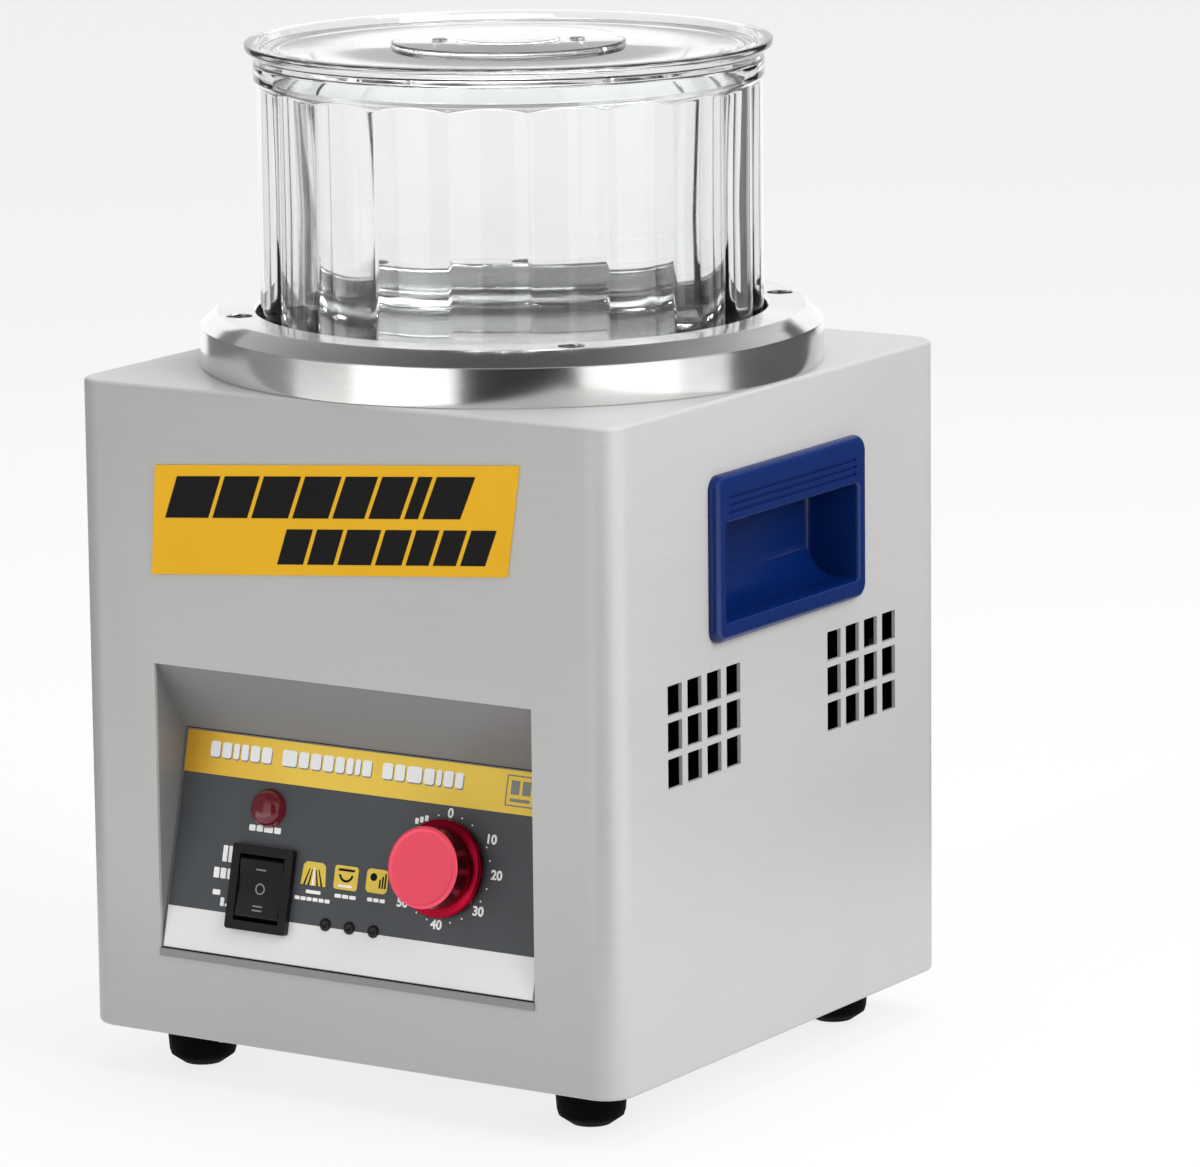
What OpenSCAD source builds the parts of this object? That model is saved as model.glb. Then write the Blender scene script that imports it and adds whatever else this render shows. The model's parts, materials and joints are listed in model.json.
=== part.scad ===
// Magnetic tumbler: square metal case on rubber feet, clamp ring, fluted clear bowl with a clear
// lid, recessed control panel, pocket handles, and a motor-driven magnet disc under the bowl.
// Millimetres. +Z is up, the control panel faces -Y, the feet stand on Z = 0.

/* [Case] */
// Width and depth of the square case
body_w = 240; // [200:1:280]
// Height of the case above its bottom edge
body_h = 250; // [200:1:300]
// Radius of the four upright corners
corner_r = 12; // [8:1:20]
// Thickness of the sheet metal
sheet_t = 1.5; // [1:0.25:2]
// Height of the case bottom above the table
foot_h = 18; // [10:1:24]
// Distance of each foot from the two nearest case sides
foot_inset = 31.5; // [26:0.5:40]

/* [Bowl and ring] */
// Outer radius of the bowl over its flutes
bowl_r = 96; // [90:0.5:98]
// Height of the bowl without its lid
bowl_h = 112.8; // [90:0.2:130]
// Number of flutes round the bowl
flutes = 20; // [12:1:24]
// Turn of the first flute from the right-hand side
flute_phase = 10.4; // [0:0.1:18]
// Outer radius of the clamp ring
ring_r = 118.7; // [112:0.1:119.5]
// Inner radius of the clamp ring
ring_bore_r = 97.2; // [95:0.1:100]
// Height of the clamp ring
ring_h = 20.7; // [16:0.1:26]
// Outer radius of the lid
lid_r = 100.2; // [97:0.1:104]
// Height of the visible rim of the lid
lid_h = 7; // [5:0.5:10]
// Turn of the two lid rivets from the right-hand side
rivet_turn = 32.5; // [0:0.5:180]

/* [Control panel] */
// Width of the opening in the front of the case
recess_w = 169; // [150:1:190]
// Height of the opening above the case bottom edge, lower side
recess_z0 = 34; // [28:1:44]
// Height of the opening above the case bottom edge, upper side
recess_z1 = 144; // [130:1:160]
// Lean of the panel back from upright
panel_tilt = 13.5; // [8:0.5:20]
// Length of the panel along its slope
panel_len = 84.3; // [76:0.1:90]
// Radius of the timer knob face
knob_r = 15.3; // [12:0.1:18]
// Height of the timer knob face above the panel
knob_h = 16; // [12:0.5:22]

/* [Side handles and vents] */
// Width of each side handle
handle_w = 110; // [90:0.5:120]
// Height of each side handle
handle_hgt = 62.9; // [45:0.1:70]
// Depth of the finger pocket behind the case side
pocket_d = 19; // [14:0.5:26]
// Width of one vent slot
vent_w = 9.9; // [7:0.1:11]
// Height of one vent slot
vent_h = 11.2; // [8:0.1:12]

/* [Drive] */
// Radius of the magnet disc
disc_r = 84; // [70:1:88]
// Number of magnets
magnet_n = 8; // [4:2:12]
// Radius of the motor can
motor_r = 44; // [36:1:50]

/* [Hidden] */
half = body_w / 2;
z0 = foot_h;
zt = z0 + body_h;
inner = half - sheet_t;
ring_z1 = zt + ring_h;
pan_t = 2;
bowl_z0 = zt + pan_t + 0.2;
bowl_z1 = bowl_z0 + bowl_h;
lid_z0 = bowl_z1 + 0.2;
lid_z1 = lid_z0 + lid_h;
screw_r = 105.2;
rec_hw = recess_w / 2;
pan_y = -half + 0.5;
pan_z = z0 + recess_z0;
apex_y = pan_y + panel_len * sin(panel_tilt);
apex_z = pan_z + panel_len * cos(panel_tilt);
hz = z0 + 190.95;
hz0 = hz - handle_hgt / 2;
pocket_z0 = hz0 + 7.5;
pocket_z1 = pocket_z0 + 37.2;
pocket_hw = 48;
handle_y = 1;
flange_t = 4;
vent_py = 13.75;
vent_pz = 13.7;
vent_cy = 57.4;
vent_cz = z0 + 130;
back_y = half + sheet_t;
post_z0 = 239;
plate_z0 = 236;
disc_z0 = 251;
disc_t = 8;
shaft_r = 5;
fan_x = -38;
fan_z = 130;
inlet_x = 52;
inlet_z = 82;
film = 0.4;
lip_t = 1;
sw_x = -41.3;
sw_v = 27;
rocker_h = -3;
knob_x = 38.6;
knob_v = 44;
lamp_x = -42.3;
lamp_v = 57.5;
knob_reach = knob_h * cos(panel_tilt) - (knob_v - knob_r + 0.8) * sin(panel_tilt) - pan_y;
guard_h = knob_reach - back_y;

// Square with four rounded corners, centred
module rounded(w, h, r) {
    union() {
        square([w - 2 * r, h], center = true);
        square([w, h - 2 * r], center = true);
        for (sx = [-1, 1], sy = [-1, 1])
            translate([sx * (w / 2 - r), sy * (h / 2 - r)]) circle(r = r, $fn = 48);
    }
}

// Panel frame: x across, y up the slope, z out of the panel
module on_panel(x = 0, v = 0, h = 0) {
    translate([0, pan_y, pan_z]) rotate([90 - panel_tilt, 0, 0]) translate([x, v, h]) children();
}

// Turned piece on an axis along Y, drawn from +Z
module along_y() { rotate([-90, 0, 0]) children(); }

// Places children at the four ring screw positions
module at_ring_screws() {
    for (a = [45, 135, 225, 315]) rotate([0, 0, a]) translate([screw_r, 0, 0]) children();
}

module at_feet() {
    p = half - foot_inset;
    for (sx = [-1, 1], sy = [-1, 1]) translate([sx * p, sy * p, 0]) children();
}

// Positions of the screws that hold the base plate to the case flange
module at_base_screws() {
    p = half - 9;
    for (s = [-1, 1], t = [-62, 62]) {
        translate([s * p, t, 0]) children();
        translate([t, s * p, 0]) children();
    }
}

module at_back_screws() {
    for (x = [-92, 92], z = [z0 + 22, z0 + 128, z0 + 234]) translate([x, back_y, z]) children();
}

module case_shell() {
    color([0.77, 0.77, 0.75]) difference() {
        translate([0, 0, z0]) linear_extrude(body_h) rounded(body_w, body_w, corner_r);
        translate([0, 0, z0 + sheet_t]) linear_extrude(body_h - 2 * sheet_t)
            rounded(2 * inner, 2 * inner, corner_r - sheet_t);
        translate([0, 0, z0 - 1]) linear_extrude(sheet_t + 2) rounded(body_w - 32, body_w - 32, 6);
        translate([0, 0, zt - 5]) cylinder(r = 94, h = 10, $fn = 128);
        translate([-rec_hw, -half - 1, pan_z - lip_t])
            cube([recess_w, 4, z0 + recess_z1 - pan_z + lip_t]);
        translate([-86, half - 4, z0 + 30]) cube([172, 8, 196]);
        for (s = [-1, 1]) translate([s * half - 4, handle_y - pocket_hw - 2.2, pocket_z0 - 2.2])
            cube([8, 2 * pocket_hw + 4.4, pocket_z1 - pocket_z0 + 4.4]);
        for (s = [-1, 1], g = [-1, 1], i = [-1.5:1:1.5], j = [-1:1:1])
            translate([s * half - 4, g * vent_cy + i * vent_py - vent_w / 2,
                vent_cz + j * vent_pz - vent_h / 2]) cube([8, vent_w, vent_h]);
        at_ring_screws() translate([0, 0, zt - 4]) cylinder(r = 2.8, h = 6, $fn = 24);
        at_base_screws() translate([0, 0, z0 - 1]) cylinder(r = 2.2, h = 4, $fn = 20);
        at_back_screws() along_y() translate([0, 0, -6]) cylinder(r = 2.1, h = 6, $fn = 20);
    }
}

module base_plate() {
    color([0.55, 0.56, 0.57]) difference() {
        translate([0, 0, z0 + sheet_t]) linear_extrude(2) rounded(body_w - 4, body_w - 4, 10);
        for (s = [-1, 1], i = [-3:1:3]) translate([i * 12 - 3, s * 46 - 20, z0]) cube([6, 40, 8]);
        at_feet() translate([0, 0, z0]) cylinder(r = 2.6, h = 8, $fn = 20);
        at_base_screws() translate([0, 0, z0]) cylinder(r = 1.8, h = 8, $fn = 20);
    }
}

module base_screws() {
    color([0.72, 0.72, 0.72]) at_base_screws() {
        translate([0, 0, z0 - 2]) cylinder(r = 3.6, h = 2, $fn = 24);
        translate([0, 0, z0 - 0.5]) cylinder(r = 1.8, h = 6, $fn = 20);
    }
}

module rubber_feet() {
    color([0.06, 0.06, 0.06]) at_feet() rotate_extrude($fn = 48)
        polygon([[2.6, 6], [5.2, 6], [5.2, 0], [7.5, 0], [12.3, 3.4], [12.9, 5.4], [14, foot_h + sheet_t],
            [2.6, foot_h + sheet_t]]);
}

module foot_screws() {
    color([0.7, 0.7, 0.7]) at_feet() {
        translate([0, 0, 3.2]) cylinder(r = 4.6, h = 2.8, $fn = 24);
        translate([0, 0, 5]) cylinder(r = 2.4, h = foot_h + 1, $fn = 20);
        translate([0, 0, z0 + sheet_t + 2]) cylinder(r = 4.5, h = 3, $fn = 6);
    }
}

module back_panel() {
    color([0.72, 0.72, 0.7]) difference() {
        translate([0, half, z0 + 128]) rotate([-90, 0, 0]) linear_extrude(sheet_t) rounded(200, 228, 4);
        translate([fan_x, half - 1, fan_z]) along_y() cylinder(r = 38.5, h = 4, $fn = 64);
        for (sx = [-1, 1], sz = [-1, 1]) translate([fan_x + sx * 35.75, half - 1, fan_z + sz * 35.75])
            along_y() cylinder(r = 2.2, h = 4, $fn = 20);
        translate([inlet_x - 14.2, half - 1, inlet_z - 23]) cube([28.4, 4, 46]);
        for (sx = [-1, 1]) translate([inlet_x + sx * 20, half - 1, inlet_z]) along_y()
            cylinder(r = 1.7, h = 4, $fn = 20);
        for (j = [0:1:4]) translate([inlet_x - 22, half - 1, z0 + 130 + j * 12]) cube([44, 4, 4]);
        at_back_screws() along_y() translate([0, 0, -3]) cylinder(r = 2.1, h = 6, $fn = 20);
    }
}

module back_screws() {
    color([0.75, 0.75, 0.75]) at_back_screws() along_y() {
        cylinder(r = 4, h = 2, $fn = 24);
        translate([0, 0, -8]) cylinder(r = 2, h = 9, $fn = 20);
    }
}

module clamp_ring() {
    color([0.8, 0.8, 0.8]) difference() {
        rotate_extrude($fn = 160) polygon([[ring_bore_r, zt], [ring_r, zt], [ring_r, ring_z1 - 5.7],
            [ring_r - 6.6, ring_z1], [ring_bore_r + 1, ring_z1], [ring_bore_r, ring_z1 - 1]]);
        at_ring_screws() {
            translate([0, 0, ring_z1 - 3.4]) cylinder(r = 5, h = 5, $fn = 32);
            translate([0, 0, zt - 1]) cylinder(r = 2.8, h = ring_h, $fn = 24);
        }
    }
}

module ring_screws() {
    color([0.35, 0.35, 0.36]) at_ring_screws() difference() {
        union() {
            translate([0, 0, ring_z1 - 3.4]) cylinder(r = 4.6, h = 2.6, $fn = 32);
            translate([0, 0, zt - 12]) cylinder(r = 2.5, h = ring_h + 9, $fn = 24);
        }
        translate([0, 0, ring_z1 - 2.8]) cylinder(r = 1.8, h = 4, $fn = 6);
    }
}

module top_pan() {
    color([0.86, 0.86, 0.86]) translate([0, 0, zt]) cylinder(r = ring_bore_r - 0.2, h = pan_t, $fn = 128);
}

// Outline of the bowl: a ring of shallow convex flutes
module fluted_outline() {
    for (i = [0:1:flutes - 1]) rotate(flute_phase + i * 360 / flutes) translate([bowl_r - 32, 0])
        circle(r = 32, $fn = 120);
}

module tumbler_bowl() {
    color([0.88, 0.93, 0.95, 0.35]) difference() {
        union() {
            intersection() {
                translate([0, 0, bowl_z0]) linear_extrude(bowl_h - 6) fluted_outline();
                rotate_extrude($fn = 128) polygon([[0, bowl_z0], [bowl_r - 7, bowl_z0],
                    [bowl_r - 2, bowl_z0 + 2], [bowl_r + 2, bowl_z0 + 7], [bowl_r + 2, bowl_z1], [0, bowl_z1]]);
            }
            rotate_extrude($fn = 128) polygon([[bowl_r - 5, bowl_z1 - 10.5], [bowl_r - 2.8, bowl_z1 - 10.5],
                [bowl_r + 0.9, bowl_z1 - 6.5], [bowl_r + 0.9, bowl_z1], [bowl_r - 5, bowl_z1]]);
        }
        rotate_extrude($fn = 128) polygon([[0, bowl_z0 + 3.4], [bowl_r - 12, bowl_z0 + 3.4],
            [bowl_r - 7.2, bowl_z0 + 5.4], [bowl_r - 5.4, bowl_z0 + 10], [bowl_r - 5.4, bowl_z1 + 2],
            [0, bowl_z1 + 2]]);
    }
}

module at_rivets() {
    for (a = [0, 180]) rotate([0, 0, rivet_turn + a]) translate([26, 0, 0]) children();
}

module bowl_lid() {
    color([0.9, 0.94, 0.96, 0.35]) difference() {
        rotate_extrude($fn = 128) polygon([[0, lid_z0], [bowl_r - 9, lid_z0], [bowl_r - 9, lid_z0 - 7],
            [bowl_r - 5.9, lid_z0 - 7], [bowl_r - 5.9, lid_z0], [bowl_r + 0.9, lid_z0],
            [bowl_r + 0.9, lid_z0 + 2.2], [lid_r, lid_z1 - 2.4], [lid_r, lid_z1 - 0.8],
            [lid_r - 0.8, lid_z1], [lid_r - 6, lid_z1], [lid_r - 7.6, lid_z1 - 2.6], [0, lid_z1 - 2.6]]);
        at_rivets() translate([0, 0, lid_z0 - 1]) cylinder(r = 1.6, h = lid_h + 4, $fn = 20);
    }
}

module lid_disc() {
    color([0.86, 0.9, 0.92, 0.5]) difference() {
        union() {
            translate([0, 0, lid_z1 - 2.6]) cylinder(r = 44.4, h = 2.2, $fn = 96);
            translate([0, 0, lid_z1 - 0.4]) cylinder(r = 19.5, h = 0.8, $fn = 64);
        }
        at_rivets() translate([0, 0, lid_z0]) cylinder(r = 1.6, h = lid_h + 4, $fn = 20);
    }
}

module lid_rivets() {
    color([0.75, 0.76, 0.77]) at_rivets() {
        translate([0, 0, lid_z0 - 1]) cylinder(r = 3, h = 1, $fn = 24);
        translate([0, 0, lid_z0 - 0.5]) cylinder(r = 1.5, h = lid_h + 0.4, $fn = 20);
        translate([0, 0, lid_z1 - 0.4]) cylinder(r = 3, h = 0.9, $fn = 24);
    }
}

// Folded tray behind the front opening: sloping roof, two cheeks, a back flange and a bottom lip
module control_recess() {
    t = 1.2;
    w = rec_hw + t;
    color([0.55, 0.55, 0.55]) union() {
        translate([-w, 0, 0]) rotate([90, 0, 90]) linear_extrude(2 * w)
            polygon([[-inner, z0 + recess_z1], [apex_y, apex_z], [apex_y + t, apex_z + 0.5],
                [apex_y + t, apex_z + 1.6], [-inner + t, z0 + recess_z1 + 1.4],
                [-inner + t, z0 + recess_z1 + 8], [-inner, z0 + recess_z1 + 8]]);
        for (s = [-1, 1]) translate([s * (rec_hw + t / 2) - t / 2, 0, 0]) rotate([90, 0, 90])
            linear_extrude(t) polygon([[-inner, pan_z - lip_t], [-inner + 4, pan_z - lip_t],
                [apex_y + 3, apex_z - 2], [apex_y + 3, apex_z], [-inner, z0 + recess_z1]]);
        for (s = [-1, 1]) translate([s * (rec_hw + 4.7) - 3.5, -inner, z0 + recess_z0])
            cube([7, t, recess_z1 - recess_z0]);
        translate([-rec_hw, 0, 0]) rotate([90, 0, 90]) linear_extrude(recess_w)
            polygon([[-half - 0.8, pan_z - 3], [-half, pan_z - 3], [-half, pan_z - lip_t],
                [-inner + 3, pan_z - lip_t], [-inner + 3, pan_z - 0.25], [-half + 0.1, pan_z - 0.25],
                [-half + 0.1, pan_z], [-half - 0.8, pan_z]]);
    }
}

module panel_holes() {
    translate([sw_x - 12.7, sw_v - 15.2, -8]) cube([25.4, 30.4, 16]);
    translate([knob_x, knob_v, -8]) cylinder(r = 5, h = 16, $fn = 32);
    translate([lamp_x, lamp_v, -8]) cylinder(r = 5.2, h = 16, $fn = 32);
    for (i = [-1, 0, 1]) translate([i * 10.8 - 0.3, 17.2, -8]) cylinder(r = 1.4, h = 16, $fn = 20);
}

module panel_plate() {
    color([0.32, 0.34, 0.36]) on_panel() difference() {
        translate([-rec_hw + 0.3, 0.3, -2]) cube([recess_w - 0.6, panel_len - 0.6, 2]);
        panel_holes();
    }
}

module panel_overlay() {
    color([0.31, 0.33, 0.35]) on_panel() difference() {
        translate([-rec_hw + 1.2, 16.4, 0]) cube([recess_w - 2.4, 51, film]);
        panel_holes();
    }
}

module title_strip() {
    color([0.93, 0.8, 0.25]) on_panel(0, 67.5) translate([-rec_hw + 1.2, 0, 0])
        cube([recess_w - 2.4, 16, film]);
}

module lower_strip() {
    color([0.88, 0.88, 0.88]) on_panel() difference() {
        translate([-rec_hw + 1.2, 0.6, 0]) cube([recess_w - 2.4, 15.7, film]);
        panel_holes();
    }
}

module panel_plugs() {
    color([0.03, 0.03, 0.03]) on_panel() for (i = [-1, 0, 1]) translate([i * 10.8 - 0.3, 17.2, 0]) {
        translate([0, 0, film]) cylinder(r = 2.4, h = 1, $fn = 32);
        translate([0, 0, -4]) cylinder(r = 1.3, h = 5, $fn = 20);
    }
}

module lamp_lens() {
    color([0.5, 0.05, 0.08]) on_panel(lamp_x, lamp_v) intersection() {
        translate([0, 0, film]) cylinder(r = 7.4, h = 8, $fn = 48);
        translate([0, 0, -1.8]) sphere(r = 8, $fn = 64);
    }
}

module lamp_holder() {
    color([0.1, 0.1, 0.1]) on_panel(lamp_x, lamp_v) {
        translate([0, 0, -18]) cylinder(r = 5, h = 18 + film, $fn = 32);
        translate([0, 0, -4.2]) cylinder(r = 8, h = 2, $fn = 6);
    }
}

module switch_housing() {
    color([0.05, 0.05, 0.05]) on_panel(sw_x, sw_v) difference() {
        union() {
            translate([0, 0, film]) linear_extrude(2.6) rounded(27.6, 32.3, 1.2);
            translate([-12.4, -14.9, -20]) cube([24.8, 29.8, 20 + film + 1]);
            for (x = [-7, 0, 7]) translate([x - 0.4, -3, -27]) cube([0.8, 6, 8]);
        }
        translate([-10.2, -12.6, -15]) cube([20.4, 25.2, 20]);
        translate([-11.2, 0, rocker_h]) rotate([0, 90, 0]) cylinder(r = 1.56, h = 22.4, $fn = 32);
    }
}

module switch_rocker() {
    color([0.04, 0.04, 0.04]) on_panel(sw_x, sw_v, rocker_h) union() {
        rotate([90, 0, 90]) translate([0, 0, -9.9]) linear_extrude(19.8) intersection() {
            circle(r = 12.3, $fn = 96);
            polygon([[-13, -4], [13, -4], [13, 6.1], [0, 4.9], [-13, 6.1]]);
        }
        translate([-10.9, 0, 0]) rotate([0, 90, 0]) cylinder(r = 1.5, h = 21.8, $fn = 32);
    }
}

module timer_knob() {
    color([0.9, 0.3, 0.4]) on_panel(knob_x, knob_v) difference() {
        rotate_extrude($fn = 96) polygon([[3.05, 1.6], [17.8, 1.6], [18.4, 2.2], [18.4, 4], [17.6, 4.8],
            [15.6, 5.2], [15.4, 6.2], [knob_r, knob_h - 1], [knob_r - 0.8, knob_h], [0, knob_h],
            [0, 12], [3.05, 12]]);
        translate([-0.5, knob_r - 5, knob_h - 0.4]) cube([1, 6, 2]);
    }
}

module timer_shaft() {
    color([0.7, 0.7, 0.68]) on_panel(knob_x, knob_v) translate([0, 0, -14]) cylinder(r = 3, h = 26, $fn = 32);
}

module timer_body() {
    color([0.82, 0.8, 0.72]) on_panel(knob_x, knob_v) difference() {
        union() {
            translate([-24, -22, -44]) cube([48, 44, 38]);
            translate([0, 0, -7]) cylinder(r = 4.8, h = 7 + film, $fn = 32);
            translate([0, 0, -5]) cylinder(r = 8.5, h = 2, $fn = 6);
        }
        translate([0, 0, -16]) cylinder(r = 3.06, h = 20, $fn = 32);
    }
}

module handle_right() {
    z1 = hz0 + handle_hgt;
    color([0.08, 0.18, 0.48]) translate([0, handle_y, 0]) difference() {
        union() {
            translate([half, 0, hz]) rotate([90, 0, 90]) linear_extrude(flange_t)
                rounded(handle_w, handle_hgt, 5.5);
            translate([half - pocket_d - 2, -pocket_hw - 1.9, pocket_z0 - 1.9])
                cube([pocket_d + 3, 2 * pocket_hw + 3.8, pocket_z1 - pocket_z0 + 3.8]);
        }
        translate([0, pocket_hw, 0]) rotate([90, 0, 0]) linear_extrude(2 * pocket_hw) union() {
            translate([half - pocket_d, pocket_z0 + 14]) square([pocket_d + 9, pocket_z1 - pocket_z0 - 14]);
            translate([half - pocket_d + 14, pocket_z0]) square([pocket_d - 5, 16]);
            translate([half - pocket_d + 14, pocket_z0 + 14]) circle(r = 14, $fn = 64);
        }
        for (k = [0, 1, 2]) translate([half + flange_t - 0.6, 8.5 - handle_w / 2, z1 - 14.6 + k * 2.8])
            cube([2, handle_w - 17, 1]);
    }
}

module handle_left() { mirror([1, 0, 0]) handle_right(); }

module front_badge() {
    color([0.97, 0.74, 0.12]) translate([0, -half, z0]) rotate([90, 0, 0]) linear_extrude(0.8)
        polygon([[-84.2, 178.3], [75.2, 192.1], [81, 233.7], [-81.6, 220.1]]);
}

module ring_posts() {
    color([0.7, 0.7, 0.7]) at_ring_screws() difference() {
        translate([0, 0, post_z0]) cylinder(r = 6, h = zt - sheet_t - post_z0, $fn = 6);
        translate([0, 0, post_z0 - 1]) cylinder(r = 2.5, h = 40, $fn = 24);
    }
}

module at_motor_screws() {
    for (a = [0, 90, 180, 270]) rotate([0, 0, a]) translate([35, 0, 0]) children();
}

module motor_bracket() {
    color([0.6, 0.61, 0.62]) difference() {
        translate([0, 0, plate_z0]) linear_extrude(3) rounded(166, 166, 10);
        translate([0, 0, plate_z0 - 1]) cylinder(r = 20, h = 6, $fn = 64);
        at_motor_screws() translate([0, 0, plate_z0 - 1]) cylinder(r = 2.3, h = 6, $fn = 20);
        at_ring_screws() translate([0, 0, plate_z0 - 1]) cylinder(r = 2.6, h = 6, $fn = 20);
    }
}

module bracket_screws() {
    color([0.72, 0.72, 0.72]) at_ring_screws() {
        translate([0, 0, plate_z0 - 3]) cylinder(r = 4.4, h = 3, $fn = 6);
        translate([0, 0, plate_z0 - 1]) cylinder(r = 2.4, h = 12, $fn = 20);
    }
}

module motor_can() {
    color([0.28, 0.3, 0.32]) difference() {
        translate([0, 0, 156]) cylinder(r = motor_r, h = 62, $fn = 96);
        translate([0, 0, 155]) cylinder(r = motor_r - 3, h = 64, $fn = 96);
    }
}

module bell(z, up) {
    translate([0, 0, z]) mirror([0, 0, up ? 0 : 1]) difference() {
        rotate_extrude($fn = 96) polygon([[8.1, 4], [motor_r - 3.3, 4], [motor_r - 3.3, 0], [motor_r, 0],
            [motor_r, 12], [motor_r - 4, 16], [14, 18], [8.1, 18]]);
        for (a = [45, 135, 225, 315]) rotate([0, 0, a]) translate([18, -5, 3]) cube([16, 10, 20]);
    }
}

module motor_end_bells() {
    color([0.66, 0.67, 0.68]) {
        difference() {
            bell(218, true);
            at_motor_screws() translate([0, 0, 226]) cylinder(r = 2, h = 14, $fn = 20);
        }
        bell(156, false);
    }
}

module motor_stator() {
    color([0.5, 0.48, 0.45]) difference() {
        translate([0, 0, 166]) cylinder(r = motor_r - 3, h = 42, $fn = 96);
        translate([0, 0, 165]) cylinder(r = 26.5, h = 44, $fn = 96);
    }
}

module motor_rotor() {
    color([0.55, 0.55, 0.56]) difference() {
        translate([0, 0, 168]) cylinder(r = 26, h = 38, $fn = 96);
        translate([0, 0, 167]) cylinder(r = shaft_r, h = 40, $fn = 48);
    }
}

module motor_shaft() {
    color([0.78, 0.78, 0.78]) translate([0, 0, 136]) cylinder(r = shaft_r, h = 122, $fn = 48);
}

module motor_bearings() {
    color([0.8, 0.8, 0.8]) for (z = [140, 228]) difference() {
        translate([0, 0, z]) cylinder(r = 8.1, h = 6, $fn = 48);
        translate([0, 0, z - 1]) cylinder(r = shaft_r + 0.06, h = 8, $fn = 48);
    }
}

module motor_screws() {
    color([0.72, 0.72, 0.72]) at_motor_screws() {
        translate([0, 0, plate_z0 + 3]) cylinder(r = 4, h = 2.4, $fn = 24);
        translate([0, 0, 228]) cylinder(r = 1.95, h = 12, $fn = 20);
    }
}

module disc_hub() {
    color([0.75, 0.76, 0.77]) difference() {
        rotate_extrude($fn = 64) polygon([[shaft_r, 241], [13, 241], [13, 247], [24, 247], [24, disc_z0],
            [shaft_r, disc_z0]]);
        rotate([0, 0, 45]) translate([0, 0, 244]) rotate([0, 90, 0]) cylinder(r = 1.6, h = 30, $fn = 20);
    }
}

module magnet_disc() {
    color([0.72, 0.73, 0.74]) difference() {
        translate([0, 0, disc_z0]) cylinder(r = disc_r, h = disc_t, $fn = 96);
        translate([0, 0, disc_z0 - 1]) cylinder(r = shaft_r, h = 20, $fn = 48);
        for (i = [0:1:magnet_n - 1]) rotate([0, 0, (i + 0.5) * 360 / magnet_n])
            translate([i % 2 == 0 ? 66 : 44, 0, disc_z0 + 5]) cylinder(r = 12.5, h = 10, $fn = 48);
    }
}

module magnets() {
    color([0.82, 0.83, 0.85]) for (i = [0:1:magnet_n - 1]) rotate([0, 0, (i + 0.5) * 360 / magnet_n])
        translate([i % 2 == 0 ? 66 : 44, 0, disc_z0 + 5]) cylinder(r = 12.5, h = 6, $fn = 48);
}

module fan_frame() {
    color([0.08, 0.08, 0.08]) translate([fan_x, half - 25, fan_z]) difference() {
        along_y() linear_extrude(25) rounded(80, 80, 4);
        translate([0, -1, 0]) along_y() difference() {
            cylinder(r = 38.5, h = 27, $fn = 72);
            cylinder(r = 16, h = 4, $fn = 48);
            for (a = [45, 135, 225, 315]) rotate([0, 0, a]) translate([14, -2, 1]) cube([26, 4, 3]);
        }
        for (sx = [-1, 1], sz = [-1, 1]) translate([sx * 35.75, -1, sz * 35.75]) along_y()
            cylinder(r = 2.1, h = 27, $fn = 20);
    }
}

module fan_impeller() {
    color([0.12, 0.12, 0.13]) translate([fan_x, half - 20.5, fan_z]) along_y() {
        cylinder(r = 17.5, h = 18.5, $fn = 64);
        for (i = [0:1:6]) rotate([0, 0, i * 360 / 7]) translate([15, -0.9, 9.2]) rotate([38, 0, 0])
            translate([0, 0, -9]) cube([21.5, 1.8, 18]);
    }
}

module fan_guard() {
    color([0.75, 0.75, 0.75]) translate([fan_x, back_y, fan_z]) along_y() {
        for (r = [12, 20, 28, 36]) translate([0, 0, guard_h - 1.8]) difference() {
            cylinder(r = r + 0.9, h = 1.8, $fn = 64);
            translate([0, 0, -1]) cylinder(r = r - 0.9, h = 4, $fn = 64);
        }
        for (a = [45, 135, 225, 315]) rotate([0, 0, a]) {
            translate([11.5, -0.9, guard_h - 3.2]) cube([27.5, 1.8, 1.8]);
            translate([37.2, -0.9, 0]) cube([1.8, 1.8, guard_h - 1.4]);
            translate([37.2, -0.9, 0]) cube([10, 1.8, 1.8]);
            translate([50.55, 0, 0]) difference() {
                cylinder(r = 4.4, h = 1.8, $fn = 24);
                translate([0, 0, -1]) cylinder(r = 2.2, h = 5, $fn = 20);
            }
        }
    }
}

module fan_screws() {
    color([0.72, 0.72, 0.72]) for (sx = [-1, 1], sz = [-1, 1])
        translate([fan_x + sx * 35.75, back_y + 1.8, fan_z + sz * 35.75]) along_y() {
            cylinder(r = 3.8, h = 2, $fn = 24);
            translate([0, 0, -29]) cylinder(r = 2, h = 30, $fn = 20);
        }
}

module power_inlet() {
    color([0.06, 0.06, 0.06]) translate([inlet_x, 0, inlet_z]) difference() {
        union() {
            translate([0, back_y, 0]) along_y() linear_extrude(3) rounded(50, 50, 4);
            translate([-14, back_y - 24, -22.8]) cube([28, 25, 45.6]);
        }
        translate([-12, back_y - 14, -20]) cube([24, 20, 17]);
        translate([-11.3, back_y - 18, 4.7]) cube([22.6, 24, 13.6]);
        for (p = [[-7, -15.5], [7, -15.5], [0, -10.5]])
            translate([p[0] - 1.05, back_y - 26, p[1] - 0.05]) cube([2.1, 14, 4.1]);
        for (sx = [-1, 1]) translate([sx * 20, back_y - 1, 0]) along_y() cylinder(r = 1.7, h = 6, $fn = 20);
    }
}

module inlet_pins() {
    color([0.85, 0.75, 0.45]) translate([inlet_x, back_y - 32, inlet_z - 11.5]) {
        for (x = [-7, 7]) translate([x - 1, 0, -4]) cube([2, 28, 4]);
        translate([-1, 0, 1]) cube([2, 28, 4]);
    }
}

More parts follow.
